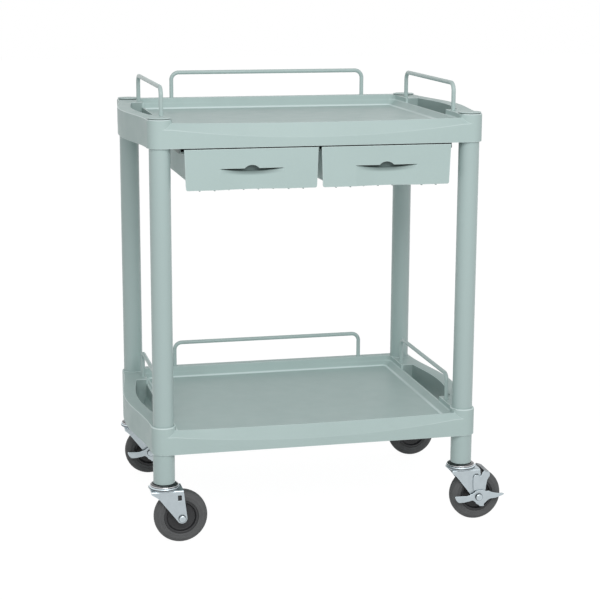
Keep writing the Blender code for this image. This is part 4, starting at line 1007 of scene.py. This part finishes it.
FRONT_FACE, FRONT_BACK = -228 * MM, -225 * MM
HOUSING_BACK, POCKET_BACK = -211 * MM, -214 * MM  # of the pull's housing, outside and inside
TOP_LIFT = 1.2 * MM  # the front stands that far above the box's flanges
NOTCH_WIDTH, NOTCH_RISE = 27 * MM, 6 * MM  # of the thumb notch in the lip
NOTCH_HALF = 13.6 * MM
SLIT_DEPTH, SCOOP_DEPTH = 5.5 * MM, 6.5 * MM
HOUSING_SIDE, HOUSING_SLANT = 3 * MM, 11 * MM
SIDE_BEVEL, END_BEND, SIDE_TAPER = 1 * MM, 4 * MM, 2.7 * MM
BOX_INSET, BOX_REAR, BOX_FRONT, BOX_NOTCH = 23.5 * MM, 147 * MM, -226 * MM, -212.5 * MM
BOX_WALL, FLANGE_WIDTH, FLANGE_END = 2.5 * MM, 20 * MM, 141 * MM
DRAWER_RIBS, DRAWER_RIB_STEP = 8, 27 * MM
DRAWER_RIB_HALF, DRAWER_RIB_DEPTH, DRAWER_RIB_EDGE = 1 * MM, 1.6 * MM, 0.35 * MM
DRAWER_RIB_STARTS = -219.2 * MM, -227.2 * MM  # under the pull's housing, and beside it
POCKET_RISE, POCKET_SLANT, RECESS_RISE = 12 * MM, 2.5 * MM, 8 * MM  # the pull's hollows
LEDGE_DROP, PLAIN_LEDGE_DROP, FALL = 2.4 * MM, 4 * MM, 2 * MM
FRONT_STEPS = 3

# Where the front has a section, in mm from its middle, from the pull's end and from its own end.
NOTCH_PLACES = np.append(np.arange(14), [13.3, 13.6, 14.2, 15.0])
PULL_PLACES = np.array([-9, -7.5, -6, -4.5, -3, -1.5, -0.5, 0, 0.4, 1.1, 3, 6.5, 10.5, 14, 15])
END_PLACES = np.array([-5.0, -4.2, -3.4, -2.6, -1.8, -1.2, -0.8, -0.45, -0.15, 0.0])

# The rounding of a section's corners in mm, down the face and up the back.
FACE_ROUNDING = (0.9, 0.5, 0.5, 0.8, 0.8, 1.5, 1.5, 5, 0, 0.9)
BACK_ROUNDING = (0, 0.8, 0, 0.9)


def drawer_front(sizes):
    """The drawer's front, as one closed section in depth and height at every place across it.

    Each section's corners run down the face, round the finger pull where there is one, along the
    bottom and up the back. The plain section and the pull's are blended across the pull's sides.
    With s = 1 - (x / half the pull)^2, the slit under the lip is 5.5 s high and the recess below it
    6.5 s deep, in mm, and the lip's notch is an arc of a circle. Towards the ends a quarter circle
    rounds the face, another the lower corner, and the sides draw in towards the bottom.
    """
    top, bottom = sizes.front_top + TOP_LIFT, sizes.front_top - sizes.front_height
    half, pull = sizes.front_width / 2, sizes.pull_width / 2
    lip = sizes.front_top - sizes.pull_lip_drop
    x = np.concatenate(
        [
            NOTCH_PLACES * MM,
            np.linspace(17 * MM, pull - 11 * MM, 8),
            pull + PULL_PLACES * MM,
            np.linspace(pull + 18 * MM, half - 6 * MM, 8),
            half + END_PLACES * MM,
        ]
    )
    x = np.concatenate([-x[:0:-1], x])
    reach = np.abs(x)
    centre = np.clip(1 - (reach / pull) ** 2, 0, 1)
    radius = (NOTCH_WIDTH**2 / 4 + NOTCH_RISE**2) / (2 * NOTCH_RISE)
    notch = np.sqrt(np.clip(radius**2 - x**2, 0, None)) - radius + NOTCH_RISE
    lip_z = lip + np.where(reach < NOTCH_HALF, np.clip(notch, 0, None), 0)
    shelf = lip - SLIT_DEPTH * centre
    scooped = FRONT_FACE + SCOOP_DEPTH * centre

    def section(*corners):
        """Corners of (depth, height) at every place across, each one number or one for each."""
        return np.stack([pairs(depth, height + 0 * x) for depth, height in corners])

    pulled = section(
        (FRONT_FACE, top),
        (FRONT_FACE, lip_z),
        (FRONT_BACK, lip_z),
        (FRONT_BACK, lip + POCKET_RISE - POCKET_SLANT),
        (FRONT_BACK + POCKET_SLANT, lip + POCKET_RISE),
        (POCKET_BACK, lip + POCKET_RISE),
        (POCKET_BACK, shelf),
        (scooped, shelf),
        (scooped, shelf - RECESS_RISE),
        (scooped, bottom),
    )
    falls = np.concatenate([[top], lip - np.linspace(0, FALL, len(pulled) - 2), [bottom]])
    plain = section(*((FRONT_FACE, height) for height in falls))
    ledge, plain_ledge = top - LEDGE_DROP, top - PLAIN_LEDGE_DROP
    behind = section(
        (HOUSING_BACK, bottom), (HOUSING_BACK, ledge), (FRONT_BACK, ledge), (FRONT_BACK, top)
    )
    behind_plain = section(
        (FRONT_BACK, bottom), (FRONT_BACK, plain_ledge), (FRONT_BACK, ledge), (FRONT_BACK, top)
    )
    turn_in = 1 - smooth_step(reach, pull - 0.2 * MM, pull + 0.4 * MM)
    housed = 1 - np.clip((reach - pull - HOUSING_SIDE) / HOUSING_SLANT, 0, 1)
    sections = np.concatenate(
        [
            plain + (pulled - plain) * turn_in[None, :, None],
            behind_plain + (behind - behind_plain) * housed[None, :, None],
        ]
    )
    rounding = np.array(FACE_ROUNDING + BACK_ROUNDING) * MM
    points, near = bend_corners(sections, rounding, FRONT_STEPS)
    corner = np.arange(len(points))[:, None] // (FRONT_STEPS + 1)
    # Painted shade in the slit and the pocket behind the pull's lip.
    near = np.where((corner >= 2) & (corner <= 6) & (reach < pull), DEEP_SHADE, near)
    # Painted shade at the top of the scoop under the lip, strongest in the middle.
    near = np.where((corner == 7) & (reach < pull), SCOOP_SHADE * centre, near)

    depth, height = points[..., 0], points[..., 1]
    over = np.clip(reach - (half - SIDE_BEVEL), 0, None) / SIDE_BEVEL
    inset = SIDE_BEVEL * (1 - np.sqrt(np.clip(1 - over**2, 0, 1)))
    depth = np.clip(depth, FRONT_FACE + inset, None)
    plain_back = reach > pull + HOUSING_SIDE + HOUSING_SLANT + 0.5 * MM
    depth = np.where(plain_back, np.minimum(depth, FRONT_BACK - inset), depth)
    height = np.clip(height, None, top - inset)
    past = np.clip(reach - (half - END_BEND), 0, END_BEND)
    low = bottom + END_BEND - np.sqrt(np.clip(END_BEND**2 - past**2, 0, None))
    height = np.maximum(height, low + inset)
    taper = SIDE_TAPER * (top - height) / (top - bottom)
    taper = taper * smooth_step(reach, pull + 5 * MM, half - 5 * MM)
    grid = np.stack([x - np.sign(x) * taper, depth, height], -1)
    # Painted highlights on the front's rounded ends.
    near = np.where(over > 0, np.maximum(near, over * 0.9), near)
    parts = [surface(grid, near, wrap_rows=True)]
    for column in (0, -1):
        loop = grid[:, column]
        middle = np.broadcast_to(loop.mean(0), loop.shape)
        parts.append(surface(np.stack([loop, middle]), wrap_columns=True))
    return together(*parts)


def drawer_box(sizes):
    """The open box behind the front, notched round the pull's housing.

    Rings follow the outline, from the inside floor up, over the flanges and down outside.
    """
    bottom = sizes.front_top - sizes.front_height
    top = sizes.front_top - 1.2 * MM
    half = sizes.front_width / 2 - BOX_INSET
    notch = sizes.pull_width / 2 + HOUSING_SIDE
    mouth = notch + HOUSING_SLANT
    corners = [
        [-half, BOX_REAR],
        [-half, BOX_FRONT],
        [-mouth, BOX_FRONT],
        [-notch, BOX_NOTCH],
        [notch, BOX_NOTCH],
        [mouth, BOX_FRONT],
        [half, BOX_FRONT],
        [half, BOX_REAR],
    ]
    outline = bent(corners, np.array([6, 0, 0, 0, 0, 0, 0, 6]) * MM, 5)
    outline = spaced(outline, 24 * MM)
    x, y = outline.T
    flanged = np.abs(np.abs(x) - half) < 0.01 * MM
    flanged &= (y < FLANGE_END - 1 * MM) & (y > BOX_FRONT - 1 * MM)
    out = pairs(np.sign(x) * FLANGE_WIDTH * flanged, 0)
    middle = np.array([0, -40 * MM])
    inner = outline + inwards(outline) * BOX_WALL
    rings = (
        (middle, bottom + BOX_WALL, 0),
        (inner + (middle - inner) * 0.06, bottom + BOX_WALL, 0),
        (inner + (middle - inner) * 0.015, bottom + BOX_WALL, 2.5),
        (inner, top, 0.6),
        (outline + out, top, 0.8),
        (outline + out, top - BOX_WALL, 0.6),
        (outline, top - BOX_WALL - 0.05 * MM, 0.8),
        (outline, bottom, 2),
        (outline + (middle - outline) * 0.06, bottom, 0),
        (middle, bottom, 0),
    )
    grid = [
        np.column_stack([np.broadcast_to(plan, outline.shape), np.full(len(outline), height)])
        for plan, height, _ in rings
    ]
    rounding = np.array([rounding for *_, rounding in rings]) * MM
    points, near = bend_corners(np.stack(grid), rounding, 3, closed=False)
    return surface(points, near, wrap_columns=True)


class CART_OT_drawers(bpy.types.Operator):
    """Builds the two drawers, each one moulding of front, box and ribs"""

    bl_idname = "cart.drawers"
    bl_label = "Drawers"

    def execute(self, context):
        sizes = context.scene.cart_sizes
        bottom = sizes.front_top - sizes.front_height
        parts = [drawer_front(sizes), drawer_box(sizes)]
        for x in (np.arange(DRAWER_RIBS) - (DRAWER_RIBS - 1) / 2) * DRAWER_RIB_STEP:
            beside = abs(x) >= sizes.pull_width / 2 + HOUSING_SIDE
            low = (x - DRAWER_RIB_HALF, DRAWER_RIB_STARTS[beside], bottom - DRAWER_RIB_DEPTH)
            high = (x + DRAWER_RIB_HALF, FLANGE_END, bottom + 1 * MM)
            parts.append(slab(low, high, DRAWER_RIB_EDGE))
        drawer = together(*parts)
        for side in SIDES:
            node = f"drawer_{side}"
            shape = moved(drawer, (box_middle(node)[0], MIDDLE[1], 0))
            add_piece(context, f"{node}_moulding", shape, node, f"{node}_box", "body_plastic")
        return {"FINISHED"}


class CART_OT_runners(bpy.types.Operator):
    """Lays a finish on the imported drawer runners, which keep their shape"""

    bl_idname = "cart.runners"
    bl_label = "Runners"

    def execute(self, context):
        for side in (*SIDES, "centre"):
            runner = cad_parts[f"drawer_runner_{side}"]
            runner.data.materials.clear()
            runner.data.materials.append(finish_for(context, "runner_plastic"))
        return {"FINISHED"}


# Casters

FORK_TOP, FORK_HALF, FORK_BEND, FORK_SHEET = 105 * MM, 22 * MM, 4 * MM, 2.8 * MM
FORK_TIP, FORK_REAR = 9.5 * MM, 33 * MM  # radius round the axle, and its back edge at the top
FORK_FORE = {True: -23 * MM, False: -27 * MM}  # front edge of the braked forks and the others
FORK_NECK, FORK_BREAK = 99.5 * MM, (-13 * MM, 90.3 * MM)
SLOT_PLACE, SLOT_HALF = (25.5 * MM, 90 * MM), (3.5, 5)  # of the brake's slot in a fork's leg
CHEEK = 22.3 * MM, 24.3 * MM  # inner and outer face of the brake shoe's cheeks
PEDAL_FACE, PEDAL_SHEET, PEDAL_HOLE = 26.8 * MM, 2.2 * MM, 4.3 * MM

# Profiles as (radius, height, rounding), in mm. A tyre's radii are counted in from its tread.
FORK_RACE = (
    (0, 110.6, 0), (27.8, 110.6, 2.4), (27.8, 105, 2.2), (25, 104, 0.5), (0, 104, 0),
)
STEM = (
    (0, 153.5, 0), (8, 153.5, 1), (8, 115.2, 0), (21.9, 115.2, 1.2), (26.2, 112.6, 1.2),
    (26.2, 110.9, 0.4), (5, 110.9, 0), (5, 101.9, 0), (8.5, 101.9, 0.4), (8.5, 99.7, 1),
    (0, 99.7, 0),
)
HALF_TYRE = (
    (0, 0, 0), (0.15, 5.0, 4), (2.2, 10.6, 3.5), (8.6, 15.0, 2.5), (12.2, 14.7, 0.4),
    (12.6, 14.2, 0.3), (13.8, 14.2, 0.3), (14.2, 14.6, 0.4), (17.0, 14.0, 1), (18.0, 13.2, 0.3),
)
HALF_HUB = (
    (31.6, 13.0, 0.3), (27.7, 13.0, 1.2), (26.4, 7.4, 2), (24.5, 6.4, 0), (13.2, 6.0, 1.5),
    (11, 7.2, 1.2), (11, 18.9, 1), (4.3, 18.9, 0.3),
)
BOLT_HEAD = ((0, 0, 0), (4.2, 0, 2), (7.2, 1.6, 1.4), (7.2, 4.5, 0.3), (4, 4.5, 0))
BOLT_RIM = 6.3 * MM
SHOE_SPAN = math.radians(66), math.radians(79)  # round the axle, from straight ahead
SHOE_GAP, SHOE_SHEET = 0.9 * MM, 2 * MM
LUG_HALF, LUG_INNER, LUG_OVERLAP = 3.2 * MM, 19.2 * MM, 1 * MM
PEDAL_SPACE = 4.8 * MM  # added to a braked caster's bolt

# Outlines round the axle, in shares of the wheel's radius.
CHEEK_OUTLINE = (
    (-0.20, 0.25), (-0.22, 0.53), (-0.22, 0.78), (-0.18, 0.87), (-0.11, 0.89), (-0.03, 0.86),
    (0.04, 0.81), (0.10, 0.84), (0.14, 0.95), (0.21, 1.02), (0.31, 1.00), (0.42, 0.95),
    (0.45, 0.82), (0.34, 0.65), (0.30, 0.42), (0.28, 0.22),
)
PEDAL_OUTLINE = (
    (-0.97, 0.08), (-0.72, 0.07), (-0.48, 0.06), (-0.36, 0.09), (-0.20, 0.16), (-0.11, 0.24),
    (0.00, 0.27), (0.16, 0.27), (0.32, 0.21), (0.38, 0.23), (0.53, 0.15), (0.81, 0.09),
    (0.93, 0.10), (1.06, 0.05), (0.94, -0.01), (0.69, -0.08), (0.45, -0.10), (0.33, -0.18),
    (0.20, -0.31), (0.23, -0.38), (0.05, -0.38), (0.01, -0.32), (-0.09, -0.27), (-0.13, -0.20),
    (-0.24, -0.12), (-0.40, -0.16), (-0.60, -0.19), (-0.80, -0.19), (-0.90, -0.09),
)


def wheel_place(context, corner):
    """The middle of a wheel, behind its stem by the trail."""
    sizes = context.scene.cart_sizes
    return AXES[corner] + (sizes.wheel_trail, 0, sizes.wheel_radius)


def doubled(half, shared):
    """A closed profile from its half at +Y and its mirror image, which share their first corner."""
    return np.concatenate([half, half[: 0 if shared else None : -1] * (1, -1, 1)])


def banded(shape):
    """The same shape, painted shade laid on its plain bands between its rounded edges, which get
    painted highlights.
    """
    points, faces, near = shape
    bright = 0.3
    return points, faces, np.where(near < bright, RACE_BAND_SHADE, near)


def tangent_angle(point, centre, radius, side):
    """The angle on a circle where a line from the point touches it."""
    offset = np.array(point) - centre
    return math.atan2(offset[1], offset[0]) + side * math.acos(radius / np.linalg.norm(offset))


def fork_shape(sizes, fore):
    """The pressed fork, unrolled flat, cut out and folded over the wheel. Fore is its front edge.

    A point s across the flat sheet from its middle stays on the top plate up to the bend, then
    turns by the angle (s - flat) / bend, then runs straight down the leg.
    """
    flat = FORK_HALF - FORK_BEND
    leg_start = flat + FORK_BEND * math.pi / 2
    bend_foot = FORK_TOP - FORK_BEND
    axle = np.array([sizes.wheel_trail, sizes.wheel_radius])
    first = tangent_angle(FORK_BREAK, axle, FORK_TIP, 1)
    last = tangent_angle((FORK_REAR, FORK_TOP), axle, FORK_TIP, -1) + 2 * math.pi
    tip = arc(axle, FORK_TIP, np.linspace(first, last, 24))
    edge = [(fore, bend_foot), (fore, FORK_NECK), FORK_BREAK]
    corners = np.concatenate([edge, tip, [(FORK_REAR, bend_foot)]])
    setback = np.concatenate([[0, 2 * MM, 6 * MM], np.zeros(len(tip) + 1)])
    side = bent(corners, setback, 4, closed=False)
    leg = pairs(side[:, 0], leg_start + bend_foot - side[:, 1])
    outline = spaced(anticlockwise(np.concatenate([leg, leg[::-1] * (1, -1)])), 1.6 * MM)
    holes = []
    for way in (-1, 1):
        middle = np.array([SLOT_PLACE[0], way * (leg_start + bend_foot - SLOT_PLACE[1])])
        corners = np.array([[-1, -1], [-1, 1], [1, 1], [1, -1]]) * SLOT_HALF * MM
        holes.append(bent(middle + corners, 0.9 * MM, 3))
    across = np.arange(-24, 32, 3.5) * MM
    rise = np.append(np.arange(flat - 1 * MM, leg_start + 1.5 * MM, 1.1 * MM), 8 * MM)
    rise = np.concatenate([-rise[::-1], [0], rise])
    fill = np.stack(np.meshgrid(across, rise), -1).reshape(-1, 2)

    def fold(points):
        run, depth = np.abs(points[:, 1]), points[:, 2]
        angle = np.clip((run - flat) / FORK_BEND, 0, math.pi / 2)
        radius = FORK_BEND - depth
        down = np.clip(run - leg_start, 0, None)
        y = np.where(run < flat, run, flat + radius * np.sin(angle))
        z = np.where(run < flat, FORK_TOP - depth, bend_foot + radius * np.cos(angle) - down)
        return np.column_stack([points[:, 0], np.sign(points[:, 1]) * y, z])

    sheet = plate(outline, holes, FORK_SHEET, 0.7 * MM, fold, fill)
    return together(sheet, banded(turned(np.array(FORK_RACE) * MM, steps=5)))


def bolt_shape(braked):
    """The axle bolt: a domed head at each side, and a longer shank where it holds a pedal too."""
    head = np.array(BOLT_HEAD) * MM
    half = CHEEK[0] + head[-1, 1]
    far = half + (PEDAL_SPACE if braked else 0)
    profile = np.concatenate([head + (0, -half, 0), head[::-1] * (1, -1, 1) + (0, far, 0)])
    points, faces, near = turned(profile, 40, across=True)
    # Painted shade on the rim of each head, where it meets the sheet.
    on_rim = np.hypot(points[:, 0], points[:, 2]) > BOLT_RIM
    return points, faces, np.where(on_rim, BOLT_SIDE_SHADE, near)


class CART_OT_casters(bpy.types.Operator):
    """Builds the stems with their races, the forks and the axle bolts"""

    bl_idname = "cart.casters"
    bl_label = "Casters"

    def execute(self, context):
        sizes = context.scene.cart_sizes
        forks = {braked: fork_shape(sizes, fore) for braked, fore in FORK_FORE.items()}
        stem = banded(turned(np.array(STEM) * MM))
        for corner in CORNERS:
            axis, braked, body = AXES[corner], corner in BRAKED, f"swivel_{corner}"
            shape, node = moved(stem, axis), f"caster_stem_{corner}"
            add_piece(context, f"race_{corner}", shape, node, "cart_frame", "race_chrome")
            shape, node = moved(forks[braked], axis), f"caster_fork_{corner}"
            add_piece(context, f"fork_{corner}", shape, node, body, "zinc_plate", sharp=50)
            node, bolt = f"caster_axle_{corner}", bolt_shape(braked)
            place = wheel_place(context, corner)
            place[1] = box_middle(node)[1] - (bolt[0][:, 1].min() + bolt[0][:, 1].max()) / 2
            add_piece(context, f"bolt_{corner}", moved(bolt, place), node, body, "zinc_plate")
        return {"FINISHED"}


class CART_OT_wheels(bpy.types.Operator):
    """Builds the tyres, with a crowned tread and ringed side walls, and the sunk hubs"""

    bl_idname = "cart.wheels"
    bl_label = "Wheels"

    def execute(self, context):
        radius = context.scene.cart_sizes.wheel_radius
        tyre = np.array(HALF_TYRE) * MM * (-1, 1, 1) + (radius, 0, 0)
        tyre = turned(doubled(tyre, shared=True), 96, closed=True, across=True)
        hub = doubled(np.array(HALF_HUB) * MM, shared=False)
        hub = turned(hub, 72, closed=True, across=True)
        for corner in CORNERS:
            place, body = wheel_place(context, corner), f"wheel_{corner}"
            shape, node = moved(tyre, place), f"tyre_{corner}"
            add_piece(context, f"tread_{corner}", shape, node, body, "tyre_rubber")
            shape, node = moved(hub, place), f"wheel_hub_{corner}"
            add_piece(context, f"hub_{corner}", shape, node, body, "hub_plastic")
        return {"FINISHED"}


def softened(shares, radius, most):
    """An outline given in shares of a radius, its corners softened and its sides split up."""
    return spaced(anticlockwise(bent(np.array(shares) * radius, 2.2 * MM, 3)), most)


def shoe_shape(sizes):
    """Two cheeks, the curved shoe between them and the lugs that hook into the fork."""
    radius = sizes.wheel_radius
    inner, outer = CHEEK
    outline = softened(CHEEK_OUTLINE, radius, 2.5 * MM)
    parts = []
    for way in (-1, 1):
        parts.append(plate(outline, [], outer - inner, 0.5 * MM, upright(outer, way)))
    angle = np.linspace(*SHOE_SPAN, 14)
    under = arc((0, 0), radius + SHOE_GAP, angle[::-1])
    loop = np.concatenate([arc((0, 0), radius + SHOE_GAP + SHOE_SHEET, angle), under])
    parts.append(plate(loop, [], 2 * outer, 0.3 * MM, upright(outer), steps=2))
    x, z = SLOT_PLACE[0] - sizes.wheel_trail, SLOT_PLACE[1] - radius
    for way in (-1, 1):
        low, high = sorted((way * LUG_INNER, way * (inner + LUG_OVERLAP)))
        start, stop = (x - LUG_HALF, low, z - LUG_HALF), (x + LUG_HALF, high, z + LUG_HALF)
        parts.append(slab(start, stop, 0.4 * MM))
    return together(*parts)


def pedal_shape(sizes):
    """The foot pedal: a flat plate with two arms and a round hole for the bolt."""
    outline = softened(PEDAL_OUTLINE, sizes.wheel_radius, 2 * MM)
    hole = arc((0, 0), PEDAL_HOLE, -np.arange(24) * 2 * math.pi / 24)
    return plate(outline, [hole], PEDAL_SHEET, 0.6 * MM, upright(PEDAL_FACE))


class CART_OT_brakes(bpy.types.Operator):
    """Builds the brake shoes and the foot pedals"""

    bl_idname = "cart.brakes"
    bl_label = "Brakes"

    def execute(self, context):
        sizes = context.scene.cart_sizes
        shapes = {"shoe": shoe_shape(sizes), "pedal": pedal_shape(sizes)}
        for corner in BRAKED:
            for part, shape in shapes.items():
                shape = moved(shape, wheel_place(context, corner))
                node, body = f"brake_{part}_{corner}", f"brake_{part}_body_{corner}"
                add_piece(context, f"{part}_{corner}", shape, node, body, "zinc_plate", sharp=50)
        return {"FINISHED"}


# Studio

FLOOR_REACH = 14.0
FLOOR_PALE, FLOOR_WHITE, FLOOR_GLOW = 0.86, 0.86, 1.12  # its colour, and the white laid over it
WORLD_LIGHT = 0.42
KEY_PLACE, KEY_TARGET, KEY_SIZE, KEY_WATTS = (-0.2, -2.6, 2.1), (0, 0, 0.5), (2.0, 1.4), 42
CAMERA_PLACE = (-0.71620, -2.99470, 1.06299)
CAMERA_YAW, CAMERA_PITCH, CAMERA_ROLL = (math.radians(v) for v in (13.4263, 12.1179, -0.2443))
CAMERA_LENS, CAMERA_SENSOR, CAMERA_REACH = 95.814, 36.0, 100.0


def seen_by_camera(tree):
    """1 for the rays that come from the camera, a reflection or clear material, 0 for light."""
    light = tree.nodes.new("ShaderNodeLightPath")
    seen = light.outputs["Is Camera Ray"]
    for ray in ("Is Glossy Ray", "Is Transmission Ray"):
        either = tree.nodes.new("ShaderNodeMath")
        either.operation = "MAXIMUM"
        tree.links.new(seen, either.inputs[0])
        tree.links.new(light.outputs[ray], either.inputs[1])
        seen = either.outputs[0]
    return seen


def mix_in(tree, amount, plain, white, output):
    """Lays one shader over another by the amount, and puts the result out."""
    mix = tree.nodes.new("ShaderNodeMixShader")
    for source, socket in zip((amount, plain, white), mix.inputs):
        tree.links.new(source, socket)
    tree.links.new(mix.outputs["Shader"], tree.nodes[output].inputs["Surface"])


def floor_material():
    """White to the camera and in reflections, a plain pale surface to the light."""
    material = bpy.data.materials.new("studio_white")
    material.use_nodes = True
    tree = material.node_tree
    shader = tree.nodes["Principled BSDF"]
    shader.inputs["Base Color"].default_value = (FLOOR_PALE, FLOOR_PALE, FLOOR_PALE, 1)
    shader.inputs["Roughness"].default_value = 0.9
    shader.inputs["Specular IOR Level"].default_value = 0.0
    share = tree.nodes.new("ShaderNodeMath")
    share.operation = "MULTIPLY"
    share.inputs[1].default_value = FLOOR_WHITE
    tree.links.new(seen_by_camera(tree), share.inputs[0])
    white = tree.nodes.new("ShaderNodeEmission")
    white.inputs["Strength"].default_value = FLOOR_GLOW
    amount, plain = share.outputs[0], shader.outputs["BSDF"]
    mix_in(tree, amount, plain, white.outputs["Emission"], "Material Output")
    return material


def studio_world():
    """Soft light from all round, white where the camera or a reflection sees it."""
    world = bpy.data.worlds.new("studio")
    world.use_nodes = True
    tree = world.node_tree
    around = tree.nodes["Background"]
    white = tree.nodes.new("ShaderNodeBackground")
    for ground, strength in ((around, WORLD_LIGHT), (white, 1.0)):
        ground.inputs["Color"].default_value = (1, 1, 1, 1)
        ground.inputs["Strength"].default_value = strength
    plain = around.outputs["Background"]
    mix_in(tree, seen_by_camera(tree), plain, white.outputs["Background"], "World Output")
    return world


def key_lamp():
    """The one lamp: a wide soft box in front of the cart, above it."""
    data = bpy.data.lights.new("key", "AREA")
    data.shape = "RECTANGLE"
    data.size, data.size_y = KEY_SIZE
    data.energy = KEY_WATTS
    lamp = bpy.data.objects.new("key", data)
    lamp.location = KEY_PLACE
    towards = Vector(KEY_TARGET) - Vector(KEY_PLACE)
    lamp.rotation_euler = towards.to_track_quat("-Z", "Y").to_euler()
    return lamp


def photo_camera():
    """A camera at the photograph's place, turned by yaw and pitch, then rolled about its view."""
    yaw, pitch, roll = CAMERA_YAW, CAMERA_PITCH, CAMERA_ROLL
    level = math.cos(pitch)
    forward = np.array([math.sin(yaw) * level, math.cos(yaw) * level, -math.sin(pitch)])
    right = np.array([math.cos(yaw), -math.sin(yaw), 0.0])
    down = np.cross(forward, right)
    across = right * math.cos(roll) + down * math.sin(roll)
    up = right * math.sin(roll) - down * math.cos(roll)
    data = bpy.data.cameras.new("photo_camera")
    data.lens, data.sensor_width, data.clip_end = CAMERA_LENS, CAMERA_SENSOR, CAMERA_REACH
    camera = bpy.data.objects.new("photo_camera", data)
    turn = Matrix(np.column_stack([across, up, -forward]).tolist())
    camera.matrix_world = Matrix.Translation(CAMERA_PLACE) @ turn.to_4x4()
    return camera


class CART_OT_stage(bpy.types.Operator):
    """Adds the floor, the lamp, the light all round and the camera"""

    bl_idname = "cart.stage"
    bl_label = "Stage"

    def execute(self, context):
        scene = context.scene
        mesh = bpy.data.meshes.new("studio_floor")
        corners = np.array([(-1, -1, 0), (1, -1, 0), (1, 1, 0), (-1, 1, 0)]) * FLOOR_REACH
        mesh.from_pydata(corners.tolist(), [], [(0, 1, 2, 3)])
        mesh.materials.append(floor_material())
        floor = bpy.data.objects.new("studio_floor", mesh)
        camera = photo_camera()
        for piece in (floor, key_lamp(), camera):
            scene.collection.objects.link(piece)
        floor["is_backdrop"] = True
        scene.world = studio_world()
        scene.camera = camera
        scene.view_settings.view_transform = "Standard"
        return {"FINISHED"}


# Add-on


def length_property(name, description, default):
    return FloatProperty(
        name=name, description=description, default=default * MM, unit="LENGTH", precision=4
    )


def colour_property(name, description, default):
    return FloatVectorProperty(
        name=name,
        description=description,
        default=default,
        subtype="COLOR",
        size=3,
        min=0.0,
        max=1.0,
    )


class CartSizes(bpy.types.PropertyGroup):
    """Sizes of the cart's pieces."""

    boss_radius: length_property("Boss Radius", "Radius of the trays' corner bosses", 22.8)
    end_bulge: length_property("End Bulge", "How far the trays' ends swell", 22.0)
    tray_height: length_property("Tray Height", "Height of a tray's skirt", 51.0)
    floor_drop: length_property("Floor Drop", "Depth of a tray's floor below its bosses", 21.5)
    grip_length: length_property("Hand Hole Length", "Length of the hole in a tray's end", 250.0)
    grip_band: length_property("Hand Hole Band", "Width of the band outside the hand hole", 25.3)
    grip_low: length_property("Hand Hole Rim Drop", "Drop of the rim inside the hand hole", 10.0)
    post_radius: length_property("Post Radius", "Radius of the posts", 19.1)
    leg_radius: length_property("Leg Radius", "Radius of the legs", 20.0)
    rail_radius: length_property("Rail Radius", "Radius of the guard rails' rod", 4.0)
    rail_rise: length_property("Rail Rise", "Height of the rails above the trays", 50.5)
    rail_bend: length_property("Rail Bend", "Radius of the bends in the rails", 15.0)
    front_width: length_property("Drawer Width", "Width of a drawer's front", 244.0)
    front_height: length_property("Drawer Height", "Height of a drawer's front", 72.0)
    front_top: length_property("Drawer Top", "Height of the drawers above the floor", 729.5)
    pull_width: length_property("Pull Width", "Width of a drawer's finger pull", 115.0)
    pull_lip_drop: length_property("Pull Lip Drop", "Drop of the lip below the drawer's top", 34.0)
    wheel_radius: length_property("Wheel Radius", "Radius of the tyres", 50.0)
    wheel_trail: length_property("Wheel Trail", "How far a wheel trails its stem", 29.5)


class CartColours(bpy.types.PropertyGroup):
    """Colours of the cart's finishes."""

    body_plastic: colour_property("Plastic", "Trays, drawers and caps", (0.490, 0.615, 0.598))
    # The runners' colour is the body plastic's darkened: painted shade for runners under the top
    # tray.
    runner_plastic: colour_property("Runners", "Drawer runners", (0.30, 0.37, 0.355))
    post_coating: colour_property("Posts", "Coating of posts and legs", (0.450, 0.570, 0.557))
    rail_coating: colour_property("Rails", "Coating of the guard rails", (0.500, 0.620, 0.605))
    zinc_plate: colour_property("Zinc", "Forks, brakes and bolts", (0.48, 0.54, 0.57))
    race_chrome: colour_property("Races", "Swivel races", (0.60, 0.61, 0.62))
    tyre_rubber: colour_property("Tyres", "Tyre rubber", (0.115, 0.118, 0.120))
    hub_plastic: colour_property("Hubs", "Wheel hubs", (0.030, 0.031, 0.033))


OPERATORS = (
    CART_OT_trays,
    CART_OT_posts,
    CART_OT_rails,
    CART_OT_drawers,
    CART_OT_runners,
    CART_OT_casters,
    CART_OT_wheels,
    CART_OT_brakes,
    CART_OT_stage,
)


class VIEW3D_PT_utility_cart(bpy.types.Panel):
    """Lists the cart's pieces, sizes and colours."""

    bl_label = "Utility Cart"
    bl_space_type = "VIEW_3D"
    bl_region_type = "UI"
    bl_category = "Cart"

    def draw(self, context):
        layout = self.layout
        for operator in OPERATORS:
            layout.operator(operator.bl_idname)
        for group in (context.scene.cart_sizes, context.scene.cart_colours):
            column = layout.column(align=True)
            for name in group.__annotations__:
                column.prop(group, name)


CLASSES = (CartSizes, CartColours, *OPERATORS, VIEW3D_PT_utility_cart)


def register():
    for kind in CLASSES:
        bpy.utils.register_class(kind)
    bpy.types.Scene.cart_sizes = PointerProperty(type=CartSizes)
    bpy.types.Scene.cart_colours = PointerProperty(type=CartColours)


def unregister():
    del bpy.types.Scene.cart_colours
    del bpy.types.Scene.cart_sizes
    for kind in reversed(CLASSES):
        bpy.utils.unregister_class(kind)


def plain(bounds):
    """Bounds as plain lists of numbers."""
    return [[float(value) for value in corner] for corner in bounds]


def main():
    register()
    bpy.ops.cart.trays()
    bpy.ops.cart.posts()
    bpy.ops.cart.rails()
    bpy.ops.cart.drawers()
    bpy.ops.cart.runners()
    bpy.ops.cart.casters()
    bpy.ops.cart.wheels()
    bpy.ops.cart.brakes()
    bpy.ops.cart.stage()
    {"cad": plain(CAD_BOX), "scene": plain(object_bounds())}


if __name__ == "__main__":
    main()
